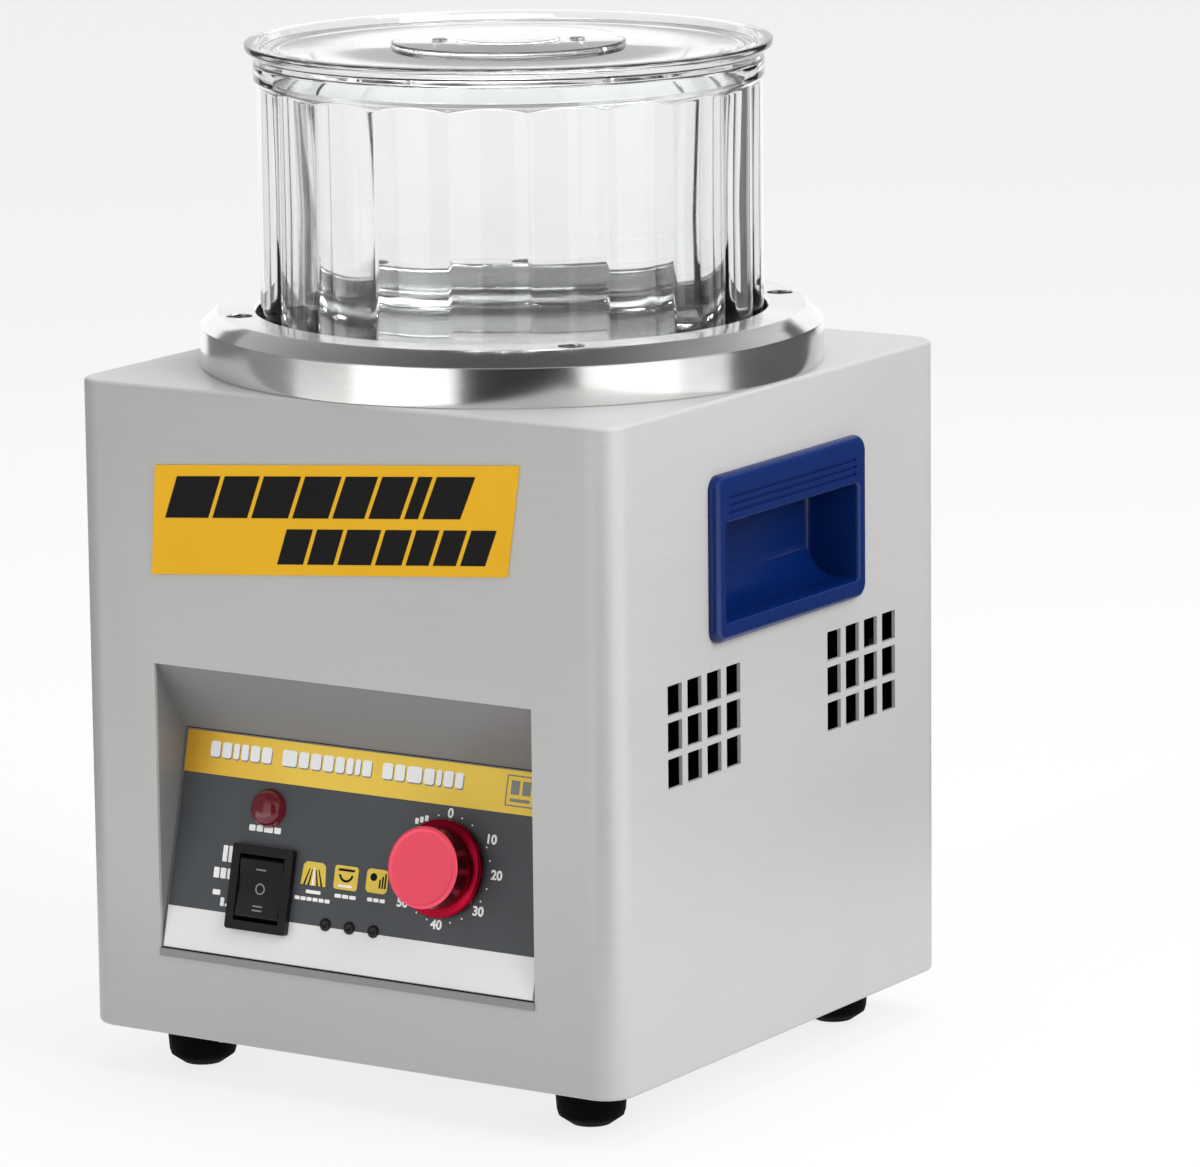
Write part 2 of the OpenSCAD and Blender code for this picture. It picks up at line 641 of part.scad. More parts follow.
module fuse_drawer() {
    color([0.1, 0.1, 0.1]) translate([inlet_x, back_y, inlet_z + 11.5]) difference() {
        union() {
            translate([-11, -16, -6.5]) cube([22, 18.4, 13]);
            translate([-4, 2, -4.6]) cube([8, 2.2, 1.6]);
        }
        translate([-8, -15, -3]) cube([16, 12, 12]);
    }
}

module inlet_screws() {
    color([0.72, 0.72, 0.72]) for (sx = [-1, 1]) translate([inlet_x + sx * 20, back_y + 3, inlet_z])
        along_y() {
            cylinder(r = 3, h = 1.7, $fn = 24);
            translate([0, 0, -10]) cylinder(r = 1.6, h = 11, $fn = 20);
        }
}

module at_board_posts() {
    for (x = [-52, 48], y = [-28, 32]) translate([x, y, 0]) children();
}

module control_board() {
    color([0.1, 0.35, 0.18]) difference() {
        translate([-57, -33, 33.5]) cube([110, 70, 1.6]);
        at_board_posts() translate([0, 0, 30]) cylinder(r = 1.7, h = 8, $fn = 20);
    }
}

module board_parts() {
    color([0.2, 0.2, 0.22]) {
        translate([-44, -20, 35.1]) cube([30, 26, 24]);
        translate([-6, -22, 35.1]) cube([16, 12, 15]);
        translate([18, -22, 35.1]) cube([24, 9, 12]);
        translate([-4, 14, 35.1]) cylinder(r = 7, h = 22, $fn = 32);
        translate([16, 14, 35.1]) cylinder(r = 6, h = 16, $fn = 32);
        translate([30, -2, 35.1]) cube([4, 24, 26]);
    }
}

module board_posts() {
    color([0.85, 0.84, 0.8]) at_board_posts() {
        translate([0, 0, z0 + sheet_t + 2]) cylinder(r = 3.6, h = 33.5 - z0 - sheet_t - 2, $fn = 24);
        translate([0, 0, 33]) cylinder(r = 1.6, h = 4, $fn = 20);
        translate([0, 0, 35.1]) cylinder(r = 3, h = 2, $fn = 24);
    }
}

module run_capacitor() {
    color([0.85, 0.85, 0.82]) translate([78, 60, z0 + sheet_t + 2]) {
        cylinder(r = 19, h = 72, $fn = 64);
        for (x = [-6, 6]) translate([x - 3, -0.4, 72]) cube([6, 0.8, 8]);
    }
}

case_shell();
base_plate();
base_screws();
rubber_feet();
foot_screws();
back_panel();
back_screws();
clamp_ring();
ring_screws();
top_pan();
tumbler_bowl();
bowl_lid();
lid_disc();
lid_rivets();
control_recess();
panel_plate();
panel_overlay();
title_strip();
lower_strip();
panel_plugs();
lamp_lens();
lamp_holder();
switch_housing();
switch_rocker();
timer_knob();
timer_shaft();
timer_body();
handle_right();
handle_left();
front_badge();
ring_posts();
motor_bracket();
bracket_screws();
motor_can();
motor_end_bells();
motor_stator();
motor_rotor();
motor_shaft();
motor_bearings();
motor_screws();
disc_hub();
magnet_disc();
magnets();
fan_frame();
fan_impeller();
fan_guard();
fan_screws();
power_inlet();
inlet_pins();
fuse_drawer();
inlet_screws();
control_board();
board_parts();
board_posts();
run_capacitor();
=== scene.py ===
"""Looks of the bench magnetic tumbler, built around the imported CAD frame. Metres, +Z up."""
import json
from math import atan2, cos, hypot, pi, radians, sin, sqrt

import bmesh
import bpy
from mathutils import Matrix, Vector

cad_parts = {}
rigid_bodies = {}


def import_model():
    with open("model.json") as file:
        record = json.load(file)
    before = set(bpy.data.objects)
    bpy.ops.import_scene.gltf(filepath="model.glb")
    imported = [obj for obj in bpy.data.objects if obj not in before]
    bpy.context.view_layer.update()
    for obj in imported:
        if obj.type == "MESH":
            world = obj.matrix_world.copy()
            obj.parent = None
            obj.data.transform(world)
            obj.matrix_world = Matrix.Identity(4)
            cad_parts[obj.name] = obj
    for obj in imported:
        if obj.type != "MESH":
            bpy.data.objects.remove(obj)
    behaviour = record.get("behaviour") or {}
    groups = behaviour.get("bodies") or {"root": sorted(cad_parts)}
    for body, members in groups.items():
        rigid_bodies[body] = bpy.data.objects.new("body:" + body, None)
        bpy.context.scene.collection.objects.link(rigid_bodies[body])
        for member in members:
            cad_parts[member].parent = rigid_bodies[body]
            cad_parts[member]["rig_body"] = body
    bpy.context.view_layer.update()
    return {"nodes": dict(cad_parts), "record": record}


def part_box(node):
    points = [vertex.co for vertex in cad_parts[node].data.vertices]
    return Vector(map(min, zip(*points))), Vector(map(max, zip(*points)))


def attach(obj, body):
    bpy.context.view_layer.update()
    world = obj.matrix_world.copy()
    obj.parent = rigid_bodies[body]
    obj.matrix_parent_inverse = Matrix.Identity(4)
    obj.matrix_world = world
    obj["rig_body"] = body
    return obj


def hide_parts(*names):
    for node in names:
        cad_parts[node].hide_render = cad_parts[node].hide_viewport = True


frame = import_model()
NODES = frame["nodes"]
MATS = {}
link = bpy.context.scene.collection.objects.link
MM = 0.001
WELD = 2e-6  # metres: CAD points closer than this are one point

# ---- sizes that follow the CAD, mm
HALF = 120.0
CASE_TOP = 268.0
TILT = radians(13.5)
PANEL_Y, PANEL_Z = -119.5, 52.0
FILM = 0.4
SWITCH = (-41.3, 27.0)
ROCKER_H = -3.0
KNOB = (38.6, 44.0)
LAMP = (-42.3, 57.5)
BOWL_R, BOWL_Z0, BOWL_Z1 = 96.0, 270.2, 383.0
FLUTES, FLUTE_PHASE, FLUTE_ARC_R = 20, radians(10.4), 32.0
LID_Z0, LID_Z1, LID_R = 383.2, 390.2, 100.2
RIVET_TURN = radians(32.5)
FAN = (-38.0, 130.0)
BACK_Y = 121.5
BACK_MAX_Y = 128.17
WIRE, SCREW_PITCH = 0.9, 35.75
CASE_CORNER, CASE_BOTTOM, SHEET = 12.0, 18.0, 1.5
FOLD_R = 1.6
POCKET_W, POCKET_H, POCKET_RISE, POCKET_DEPTH = 96.0, 37.2, 7.5, 19.0
FLANGE_PROUD, FLANGE_CORNER = 4.0, 5.5
INK_SINK, INK_PROUD, INK_SECOND = 0.02, 0.10, 0.18
DIAL_TICK_R = 20.1


# ---- camera
def make_camera():
    az, el, roll = radians(32.494), radians(11.034), radians(-0.62)
    target, dist = Vector((38.403, 0, 183.83)) * MM, 2638.9 * MM
    back = Vector((sin(az) * cos(el), -cos(az) * cos(el), sin(el)))
    right = Vector((cos(az), sin(az), 0))
    up = back.cross(right)
    right, up = (right * cos(roll) + up * sin(roll),
                 up * cos(roll) - right * sin(roll))
    cam = bpy.data.objects.new("camera", bpy.data.cameras.new("camera"))
    cam.data.sensor_width = 36.0
    cam.data.lens = 207.9
    cam.data.clip_end = 100.0
    m = Matrix((right, up, back)).transposed().to_4x4()
    m.translation = target + back * dist
    cam.matrix_world = m
    link(cam)
    bpy.context.scene.camera = cam


# ---- materials
def add_node(tree, kind, inputs=None, **settings):
    n = tree.nodes.new(kind)
    for k, v in settings.items():
        setattr(n, k, v)
    for k, v in (inputs or {}).items():
        if hasattr(v, "links"):
            tree.links.new(v, n.inputs[k])
        else:
            n.inputs[k].default_value = v
    return n


def add_ramp(tree, fac, stops):
    """Colour ramp; each stop is a position with a grey level or a colour."""
    n = add_node(tree, "ShaderNodeValToRGB", {"Fac": fac})
    e = n.color_ramp.elements
    while len(e) < len(stops):
        e.new(0.5)
    for el, (p, c) in zip(e, stops):
        el.position = p
        el.color = (c, c, c, 1) if isinstance(c, float) else (*c, 1)
    return n.outputs["Color"]


class Nodes:
    """Short way to write a material's node tree."""

    def __init__(self, mat):
        mat.use_nodes = True
        self.tree = mat.node_tree
        self.bsdf = self.tree.nodes["Principled BSDF"]
        self.coord = None

    def new(self, kind, inputs=None, **settings):
        return add_node(self.tree, kind, inputs, **settings)

    def stretched(self, scale):
        """Object coordinates in metres, times one number or one per axis."""
        if not isinstance(scale, tuple):
            scale = (scale,) * 3
        if self.coord is None:
            self.coord = self.new("ShaderNodeTexCoord").outputs["Object"]
        return self.new("ShaderNodeMapping", {"Vector": self.coord, "Scale": scale}).outputs[0]

    def noise(self, scale, detail=2.0, rough=0.5):
        return self.new("ShaderNodeTexNoise", {"Vector": self.stretched(scale), "Scale": 1.0,
                                               "Detail": detail, "Roughness": rough}).outputs["Fac"]

    def ramp(self, fac, stops):
        return add_ramp(self.tree, fac, stops)

    def link(self, out, name):
        self.tree.links.new(out, self.bsdf.inputs[name])

    def bump(self, height, strength, distance, normal=None):
        ins = {"Height": height, "Strength": strength, "Distance": distance}
        if normal is not None:
            ins["Normal"] = normal
        return self.new("ShaderNodeBump", ins).outputs["Normal"]


def material(name, base, rough=0.5, metal=0.0, grain=900, vary=0.06, rough_vary=0.08,
             bump=0.15, depth=0.00005, coat=0.0, blotch=25, **sockets):
    """Principled material: slow colour variation, roughness variation and a fine surface grain."""
    mat = bpy.data.materials.new(name)
    n = Nodes(mat)
    b = n.bsdf
    b.inputs["Metallic"].default_value = metal
    b.inputs["Coat Weight"].default_value = coat
    for k, v in sockets.items():
        b.inputs[k.replace("_", " ")].default_value = v
    slow = n.noise(blotch, 3.0)
    fine = n.noise(grain, 3.0, 0.6)
    lo = tuple(c * (1 - vary) for c in base)
    hi = tuple(min(1.0, c * (1 + vary)) for c in base)
    n.link(n.ramp(slow, [(0.3, lo), (0.7, hi)]), "Base Color")
    n.link(n.ramp(fine, [(0.25, max(0.02, rough - rough_vary)), (0.75, rough + rough_vary)]), "Roughness")
    n.link(n.bump(fine, bump, depth), "Normal")
    return mat


def case_metal(name, base, rough, metal):
    """Satin sheet with faint grain lines, level on the sides and running across on the top."""
    mat = bpy.data.materials.new(name)
    n = Nodes(mat)
    n.bsdf.inputs["Metallic"].default_value = metal
    side = n.noise((14, 14, 1500), 4.0, 0.6)
    top = n.noise((14, 1500, 14), 4.0, 0.6)
    normal = n.new("ShaderNodeNewGeometry").outputs["Normal"]
    nz = n.new("ShaderNodeSeparateXYZ", {"Vector": normal}).outputs["Z"]
    flat = n.new("ShaderNodeMath", {0: nz, 1: 0.9}, operation="GREATER_THAN").outputs[0]
    grain = n.new("ShaderNodeMix", {0: flat, 2: side, 3: top}).outputs[0]
    speck = n.noise(2600, 1.0)
    slow = n.noise(9, 2.0)
    lo, hi = tuple(c * 0.965 for c in base), tuple(min(1.0, c * 1.035) for c in base)
    tone = n.new("ShaderNodeMath", {0: grain, 1: slow}, operation="ADD").outputs[0]
    tone = n.new("ShaderNodeMath", {0: tone, 1: 0.5}, operation="MULTIPLY").outputs[0]
    n.link(n.ramp(tone, [(0.35, lo), (0.65, hi)]), "Base Color")
    n.link(n.ramp(grain, [(0.3, rough - 0.05), (0.7, rough + 0.05)]), "Roughness")
    fine = n.bump(speck, 0.08, 0.00002)
    n.link(n.bump(grain, 0.10, 0.00002, fine), "Normal")
    return mat


def ring_metal(name):
    """Aluminium ring: blasted satin wall, polished bevel, turned top face."""
    mat = bpy.data.materials.new(name)
    n = Nodes(mat)
    n.bsdf.inputs["Metallic"].default_value = 1.0
    normal = n.new("ShaderNodeNewGeometry").outputs["Normal"]
    nz = n.new("ShaderNodeSeparateXYZ", {"Vector": normal}).outputs["Z"]
    rough = n.ramp(nz, [(0.0, 0.15), (0.45, 0.15), (0.62, 0.09), (0.85, 0.09), (0.95, 0.24), (1.0, 0.24)])
    sparkle = n.noise(3200, 2.0, 0.7)
    jitter = n.ramp(sparkle, [(0.3, 0.0), (0.7, 0.05)])
    total = n.new("ShaderNodeMath", {0: rough, 1: jitter}, operation="ADD").outputs[0]
    n.link(total, "Roughness")
    slow = n.noise((30, 30, 120), 3.0)
    n.link(n.ramp(slow, [(0.3, (0.80, 0.80, 0.79)), (0.7, (0.90, 0.90, 0.90))]), "Base Color")
    n.link(n.bump(sparkle, 0.18, 0.00003), "Normal")
    return mat


def turned_metal(name, base, rough, centre, axis_tilt, rings=5200.0, metal=1.0):
    """Anodised or bare metal with turning marks in circles about a centre in the panel plane."""
    mat = bpy.data.materials.new(name)
    n = Nodes(mat)
    n.bsdf.inputs["Metallic"].default_value = metal
    coord = n.new("ShaderNodeTexCoord").outputs["Object"]
    local = n.new("ShaderNodeMapping", {"Vector": coord, "Location": centre,
                                        "Rotation": (axis_tilt, 0, 0)}, vector_type="TEXTURE").outputs[0]
    sep = n.new("ShaderNodeSeparateXYZ", {"Vector": local})
    flat = n.new("ShaderNodeCombineXYZ", {"X": sep.outputs["X"], "Y": sep.outputs["Y"]}).outputs[0]
    radius = n.new("ShaderNodeVectorMath", {0: flat}, operation="LENGTH").outputs["Value"]
    track = n.new("ShaderNodeCombineXYZ", {"X": radius}).outputs[0]
    lines = n.new("ShaderNodeTexNoise", {"Vector": track, "Scale": rings, "Detail": 2.0}).outputs["Fac"]
    lo, hi = tuple(c * 0.95 for c in base), tuple(min(1.0, c * 1.04) for c in base)
    n.link(n.ramp(lines, [(0.3, lo), (0.7, hi)]), "Base Color")
    n.link(n.ramp(lines, [(0.3, rough - 0.04), (0.7, rough + 0.05)]), "Roughness")
    n.link(n.bump(lines, 0.05, 0.00002), "Normal")
    return mat


def title_film(name):
    """Printed yellow film, with painted shade: its colour turns darker and more orange towards its left end.
    """
    mat = bpy.data.materials.new(name)
    n = Nodes(mat)
    coord = n.new("ShaderNodeTexCoord").outputs["Object"]
    across = n.new("ShaderNodeSeparateXYZ", {"Vector": coord}).outputs["X"]
    along = n.new("ShaderNodeMath", {0: across, 1: 6.0, 2: 0.5}, operation="MULTIPLY_ADD").outputs[0]
    # painted shade: the yellow darkens and turns orange towards the strip's left end
    n.link(n.ramp(along, [(0.02, (0.62, 0.32, 0.008)), (0.10, (0.84, 0.50, 0.025)),
                          (0.30, (0.90, 0.61, 0.055))]), "Base Color")
    fibre = n.noise(1800, 2.0)
    n.link(n.ramp(fibre, [(0.3, 0.42), (0.7, 0.48)]), "Roughness")
    return mat


def clear_plastic(name, tint, rough):
    """Clear moulded plastic with a trace of haze and moulding ripple."""
    mat = bpy.data.materials.new(name)
    n = Nodes(mat)
    b = n.bsdf
    b.inputs["Transmission Weight"].default_value = 1.0
    b.inputs["IOR"].default_value = 1.46
    b.inputs["Base Color"].default_value = (*tint, 1)
    ripple = n.noise((18, 18, 10), 2.0)
    haze = n.noise(60, 3.0)
    n.link(n.ramp(haze, [(0.3, rough), (0.7, rough + 0.03)]), "Roughness")
    n.link(n.bump(ripple, 0.12, 0.0006), "Normal")
    return mat


def make_materials():
    knob_centre = tuple(panel_point(KNOB[0], KNOB[1], 0))
    lean = pi / 2 - TILT
    m = {
        "case_metal": case_metal("case_metal", (0.435, 0.435, 0.430), 0.40, 0.16),
        "tray_metal": case_metal("tray_metal", (0.235, 0.235, 0.235), 0.42, 0.20),
        "zinc_sheet": material("zinc_sheet", (0.55, 0.56, 0.58), 0.38, 0.9, blotch=60, vary=0.14),
        "zinc_screw": material("zinc_screw", (0.62, 0.62, 0.60), 0.26, 1.0, grain=1500),
        "foot_rubber": material("foot_rubber", (0.0012, 0.0012, 0.0012), 0.7, bump=0.35, depth=0.00012,
                                Specular_IOR_Level=0.05),
        "ring_aluminium": ring_metal("ring_aluminium"),
        "dark_screw": material("dark_screw", (0.008, 0.008, 0.009), 0.34, 0.25),
        # case_inside: near-black painted shade for faces inside the closed case
        "case_inside": material("case_inside", (0.003, 0.003, 0.003), 0.8, Specular_IOR_Level=0.05),
        "pan_steel": turned_metal("pan_steel", (0.80, 0.80, 0.80), 0.14, (0, 0, 0), 0.0, 1500.0),
        "clear_plastic": clear_plastic("clear_plastic", (0.985, 0.992, 0.995), 0.015),
        "rivet_metal": material("rivet_metal", (0.66, 0.67, 0.68), 0.25, 1.0),
        "slate_film": material("slate_film", (0.056, 0.062, 0.069), 0.45, grain=2200,
                               bump=0.2, depth=0.00003, vary=0.08),
        "yellow_film": material("yellow_film", (0.80, 0.43, 0.006), 0.5, grain=1800,
                                bump=0.12, depth=0.00002, vary=0.03, Specular_IOR_Level=0.15),
        "title_yellow": title_film("title_yellow"),
        "white_film": material("white_film", (0.80, 0.80, 0.79), 0.35, grain=1800,
                               bump=0.12, depth=0.00002, vary=0.02),
        "print_white": material("print_white", (0.93, 0.93, 0.92), 0.5, vary=0.03),
        "print_black": material("print_black", (0.004, 0.004, 0.004), 0.6, vary=0.1, bump=0.05,
                                Specular_IOR_Level=0.15),
        "print_grey": material("print_grey", (0.22, 0.22, 0.22), 0.5, vary=0.05),
        "icon_yellow": material("icon_yellow", (0.80, 0.57, 0.06), 0.45, vary=0.05),
        "black_plastic": material("black_plastic", (0.005, 0.005, 0.005), 0.34, grain=1600,
                                  bump=0.18, depth=0.00004, Specular_IOR_Level=0.35),
        "red_lens": material("red_lens", (0.17, 0.004, 0.015), 0.22, coat=0.3, bump=0.05,
                             Transmission_Weight=0.25, IOR=1.49),
        "knob_aluminium": turned_metal("knob_aluminium", (0.88, 0.075, 0.13), 0.36, knob_centre, lean,
                                       metal=0.35),
        # knob_flank: a darker copy of the knob's red for its flank and flange, painted shade
        "knob_flank": material("knob_flank", (0.34, 0.005, 0.025), 0.26, 1.0, grain=1500,
                               bump=0.02, depth=0.00001),
        "shaft_steel": material("shaft_steel", (0.62, 0.62, 0.60), 0.25, 1.0, grain=(60, 60, 1800)),
        "cream_plastic": material("cream_plastic", (0.72, 0.68, 0.56), 0.45),
        "blue_plastic": material("blue_plastic", (0.0010, 0.013, 0.092), 0.26, grain=1300,
                                 bump=0.004, depth=0.00001, vary=0.05, rough_vary=0.03,
                                 Specular_IOR_Level=0.35),
        "motor_paint": material("motor_paint", (0.02, 0.022, 0.025), 0.35, coat=0.3),
        "cast_alloy": material("cast_alloy", (0.55, 0.56, 0.57), 0.45, 0.9, bump=0.5, depth=0.0002),
        "core_steel": material("core_steel", (0.24, 0.23, 0.22), 0.45, 0.8, grain=(50, 50, 2000), bump=0.6),
        "magnet_nickel": material("magnet_nickel", (0.70, 0.70, 0.68), 0.16, 1.0),
        "guard_wire": material("guard_wire", (0.66, 0.66, 0.66), 0.18, 1.0),
        "pin_brass": material("pin_brass", (0.72, 0.53, 0.22), 0.24, 1.0),
        "board_green": material("board_green", (0.012, 0.10, 0.035), 0.35, coat=0.4, blotch=300),
        "part_plastic": material("part_plastic", (0.06, 0.06, 0.07), 0.4),
        "part_aluminium": material("part_aluminium", (0.72, 0.72, 0.72), 0.3, 0.9),
    }
    return m


# ---- places on the object
def panel_point(x, v, h):
    """Point x across, v up the slope and h out of the control panel (all mm), in metres."""
    return Vector((x, PANEL_Y + v * sin(TILT) - h * cos(TILT),
                   PANEL_Z + v * cos(TILT) + h * sin(TILT))) * MM


def front_point(x, z, h):
    """Point on the front face of the case: h mm out of it."""
    return Vector((x, -HALF - h, z)) * MM


def upright(x, y, z):
    return Vector((x, y, z)) * MM


def axis_place(origin, axis):
    """Place function for a turned piece: local z runs along axis from origin (mm)."""
    q = Vector((0, 0, 1)).rotation_difference(Vector(axis))
    o = Vector(origin)

    def place(x, y, z):
        return (o + q @ Vector((x, y, z))) * MM
    return place


def panel_axis(x0, v0):
    def place(x, y, z):
        return panel_point(x0 + x, v0 + y, z)
    return place


# ---- building blocks
def finish_piece(name, bm, finish, body, angle=35.0, bevel=0.0, segments=2, replaces=(), slot=None,
                 merge=1e-7):
    """Turns a bmesh into a piece: cleaned, softly bevelled, smooth by angle, riding on a body.
    finish names its material or materials. slot is not used."""
    finish = [finish] if isinstance(finish, str) else finish
    bmesh.ops.remove_doubles(bm, verts=bm.verts, dist=merge)
    bmesh.ops.recalc_face_normals(bm, faces=bm.faces)
    ob = to_object(name, bm)
    shade(ob.data, angle)
    for key in finish:
        ob.data.materials.append(MATS[key])
    if bevel:
        mod = ob.modifiers.new("edge", "BEVEL")
        mod.width = bevel * MM
        mod.segments = segments
        mod.limit_method = "ANGLE"
        mod.angle_limit = radians(40)
        mod.harden_normals = True
    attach(ob, body)
    if replaces:
        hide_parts(*replaces)
    slot or finish[0]
    return ob


def to_object(name, bm):
    me = bpy.data.meshes.new(name)
    bm.to_mesh(me)
    bm.free()
    ob = bpy.data.objects.new(name, me)
    link(ob)
    return ob


def shade(me, angle):
    """Smooth shading, with edges sharper than angle (degrees) kept."""
    for p in me.polygons:
        p.use_smooth = True
    me.set_sharp_from_angle(angle=radians(angle))


def cad_mesh(node):
    """Copy of a CAD node's mesh with its points welded and its flat faces joined."""
    bm = bmesh.new()
    bm.from_mesh(NODES[node].data)
    bmesh.ops.remove_doubles(bm, verts=bm.verts, dist=WELD)
    bmesh.ops.dissolve_limit(bm, angle_limit=radians(0.4), verts=bm.verts, edges=bm.edges)
    return bm


def refine(node, finish, bevel, segments, hidden):
    """Stands for a CAD node with its own shape and broken edges.
    Faces for which hidden() is true lie in the case and take the second finish, near-black as painted shade."""
    bm = cad_mesh(node)
    for f in bm.faces:
        f.material_index = 1 if hidden and hidden(f) else 0
    finish_piece("skin_" + node, bm, [finish, "case_inside"], NODES[node]["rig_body"], bevel=bevel,
                 segments=segments, replaces=(node,), merge=WELD)


def make_case():
    """The sheet case: its folded top and bottom edges are rounded and its inside faces are near-black,
    painted shade.
    """
    bm = cad_mesh("case_shell")
    lim, top, low = (HALF - 13.0) * MM, (CASE_TOP - 0.01) * MM, (CASE_BOTTOM + 0.01) * MM

    def outer(v):
        return max(abs(v.co.x), abs(v.co.y)) > lim
    folds = [e for e in bm.edges if all(outer(v) for v in e.verts) and len(e.link_faces) == 2
             and (all(v.co.z > top for v in e.verts) or all(v.co.z < low for v in e.verts))
             and abs(e.calc_face_angle(0)) > 1.0]
    bmesh.ops.bevel(bm, geom=folds, offset=FOLD_R * MM, segments=4, profile=0.5, affect="EDGES")
    inside, core = (HALF - SHEET + 0.1) * MM, (HALF - CASE_CORNER) * MM
    for f in bm.faces:
        c = f.calc_center_median()
        x, y = abs(c.x), abs(c.y)
        on_corner = min(x, y) > core and hypot(x - core, y - core) > (CASE_CORNER - 0.5) * MM
        level = (CASE_BOTTOM + 0.8) * MM < c.z < (CASE_TOP - 0.8) * MM
        hidden = max(x, y) < inside and not on_corner and level
        # faces inside the case take case_inside, near-black painted shade
        f.material_index = 1 if hidden else 0
    finish_piece("case_skin", bm, ["case_metal", "case_inside"], "case", bevel=0.2,
                 replaces=("case_shell",), merge=WELD)


def lathe(bm, profile, place, seg=96, mat_index=0, closed=False):
    """Turns profile points (r, z) about local z. Points at r = 0 close to a fan."""
    rings = []
    for r, z in profile:
        if r < 1e-6:
            rings.append([bm.verts.new(place(0, 0, z))])
        else:
            rings.append([bm.verts.new(place(r * cos(2 * pi * i / seg),
                                             r * sin(2 * pi * i / seg), z)) for i in range(seg)])
    pairs = list(zip(rings, rings[1:])) + ([(rings[-1], rings[0])] if closed else [])
    for a, b in pairs:
        for i in range(seg):
            j = (i + 1) % seg
            if len(a) == 1 and len(b) == 1:
                continue
            if len(a) == 1:
                f = bm.faces.new((a[0], b[i], b[j]))
            elif len(b) == 1:
                f = bm.faces.new((a[i], b[0], a[j]))
            else:
                f = bm.faces.new((a[i], b[i], b[j], a[j]))
            f.material_index = mat_index


def soft_profile(points, radii):
    """Rounds the inner corners of an open profile, with one radius for each."""
    out, steps = [points[0]], 4
    for k in range(1, len(points) - 1):
        p0, p1, p2 = (Vector(points[k - 1]), Vector(points[k]), Vector(points[k + 1]))
        d0, d2 = (p0 - p1), (p2 - p1)
        r = min(radii[k - 1], d0.length * 0.45, d2.length * 0.45)
        if r < 1e-4:
            out.append(tuple(p1))
            continue
        a, b = p1 + d0.normalized() * r, p1 + d2.normalized() * r
        for i in range(steps + 1):
            t = i / steps
            q = a * (1 - t) ** 2 + p1 * 2 * t * (1 - t) + b * t * t
            out.append(tuple(q))
    out.append(points[-1])
    return out


def slab(bm, outline, h0, h1, place):
    """Solid plate from a 2D outline between two heights."""
    lower = [bm.verts.new(place(x, y, h0)) for x, y in outline]
    upper = [bm.verts.new(place(x, y, h1)) for x, y in outline]
    bm.faces.new(upper)
    bm.faces.new(list(reversed(lower)))
    for i in range(len(outline)):
        j = (i + 1) % len(outline)
        bm.faces.new((lower[i], lower[j], upper[j], upper[i]))


def rounded_rect(cx, cy, w, h, r, n=5, lean=0.0):
    """Outline of a rounded rectangle; lean shifts the top edge sideways for a slanted bar."""
    pts = []
    for sx, sy, a0 in ((1, 1, 0), (-1, 1, 90), (-1, -1, 180), (1, -1, 270)):
        for i in range(n + 1):
            a = radians(a0 + 90 * i / n)
            x = sx * (w / 2 - r) + r * cos(a)
            y = sy * (h / 2 - r) + r * sin(a)
            pts.append((cx + x + lean * y / h, cy + y))
    return pts


def circle_points(cx, cy, r, n):
    return [(cx + r * cos(radians(360 * i / n)), cy + r * sin(radians(360 * i / n)))
            for i in range(n)]


def arc_band(bm, cx, cy, r0, r1, a0, a1, h0, h1, place, n):
    """Flat curved band, as a chain of four-sided plates; only its two free ends are closed."""
    free_ends = a1 - a0 < 359
    for i in range(n):
        b0, b1 = a0 + (a1 - a0) * i / n, a0 + (a1 - a0) * (i + 1) / n
        quad = [(cx + r * cos(radians(b)), cy + r * sin(radians(b)))
                for r, b in ((r1, b0), (r1, b1), (r0, b1), (r0, b0))]
        lo = [bm.verts.new(place(x, y, h0)) for x, y in quad]
        hi = [bm.verts.new(place(x, y, h1)) for x, y in quad]
        sides = [hi, list(reversed(lo)), (lo[0], lo[1], hi[1], hi[0]), (lo[2], lo[3], hi[3], hi[2])]
        if free_ends and i == 0:
            sides.append((lo[3], lo[0], hi[0], hi[3]))
        if free_ends and i == n - 1:
            sides.append((lo[1], lo[2], hi[2], hi[1]))
        for side in sides:
            bm.faces.new(side)


# ---- bowl and lid
def flute_radius(angle, radius=BOWL_R):
    """Outer radius of the fluted wall: convex flutes that meet in sharp valleys."""
    pitch = 2 * pi / FLUTES
    a = (angle - FLUTE_PHASE + pitch / 2) % pitch - pitch / 2
    c = radius - FLUTE_ARC_R
    return c * cos(a) + sqrt(FLUTE_ARC_R ** 2 - (c * sin(a)) ** 2)


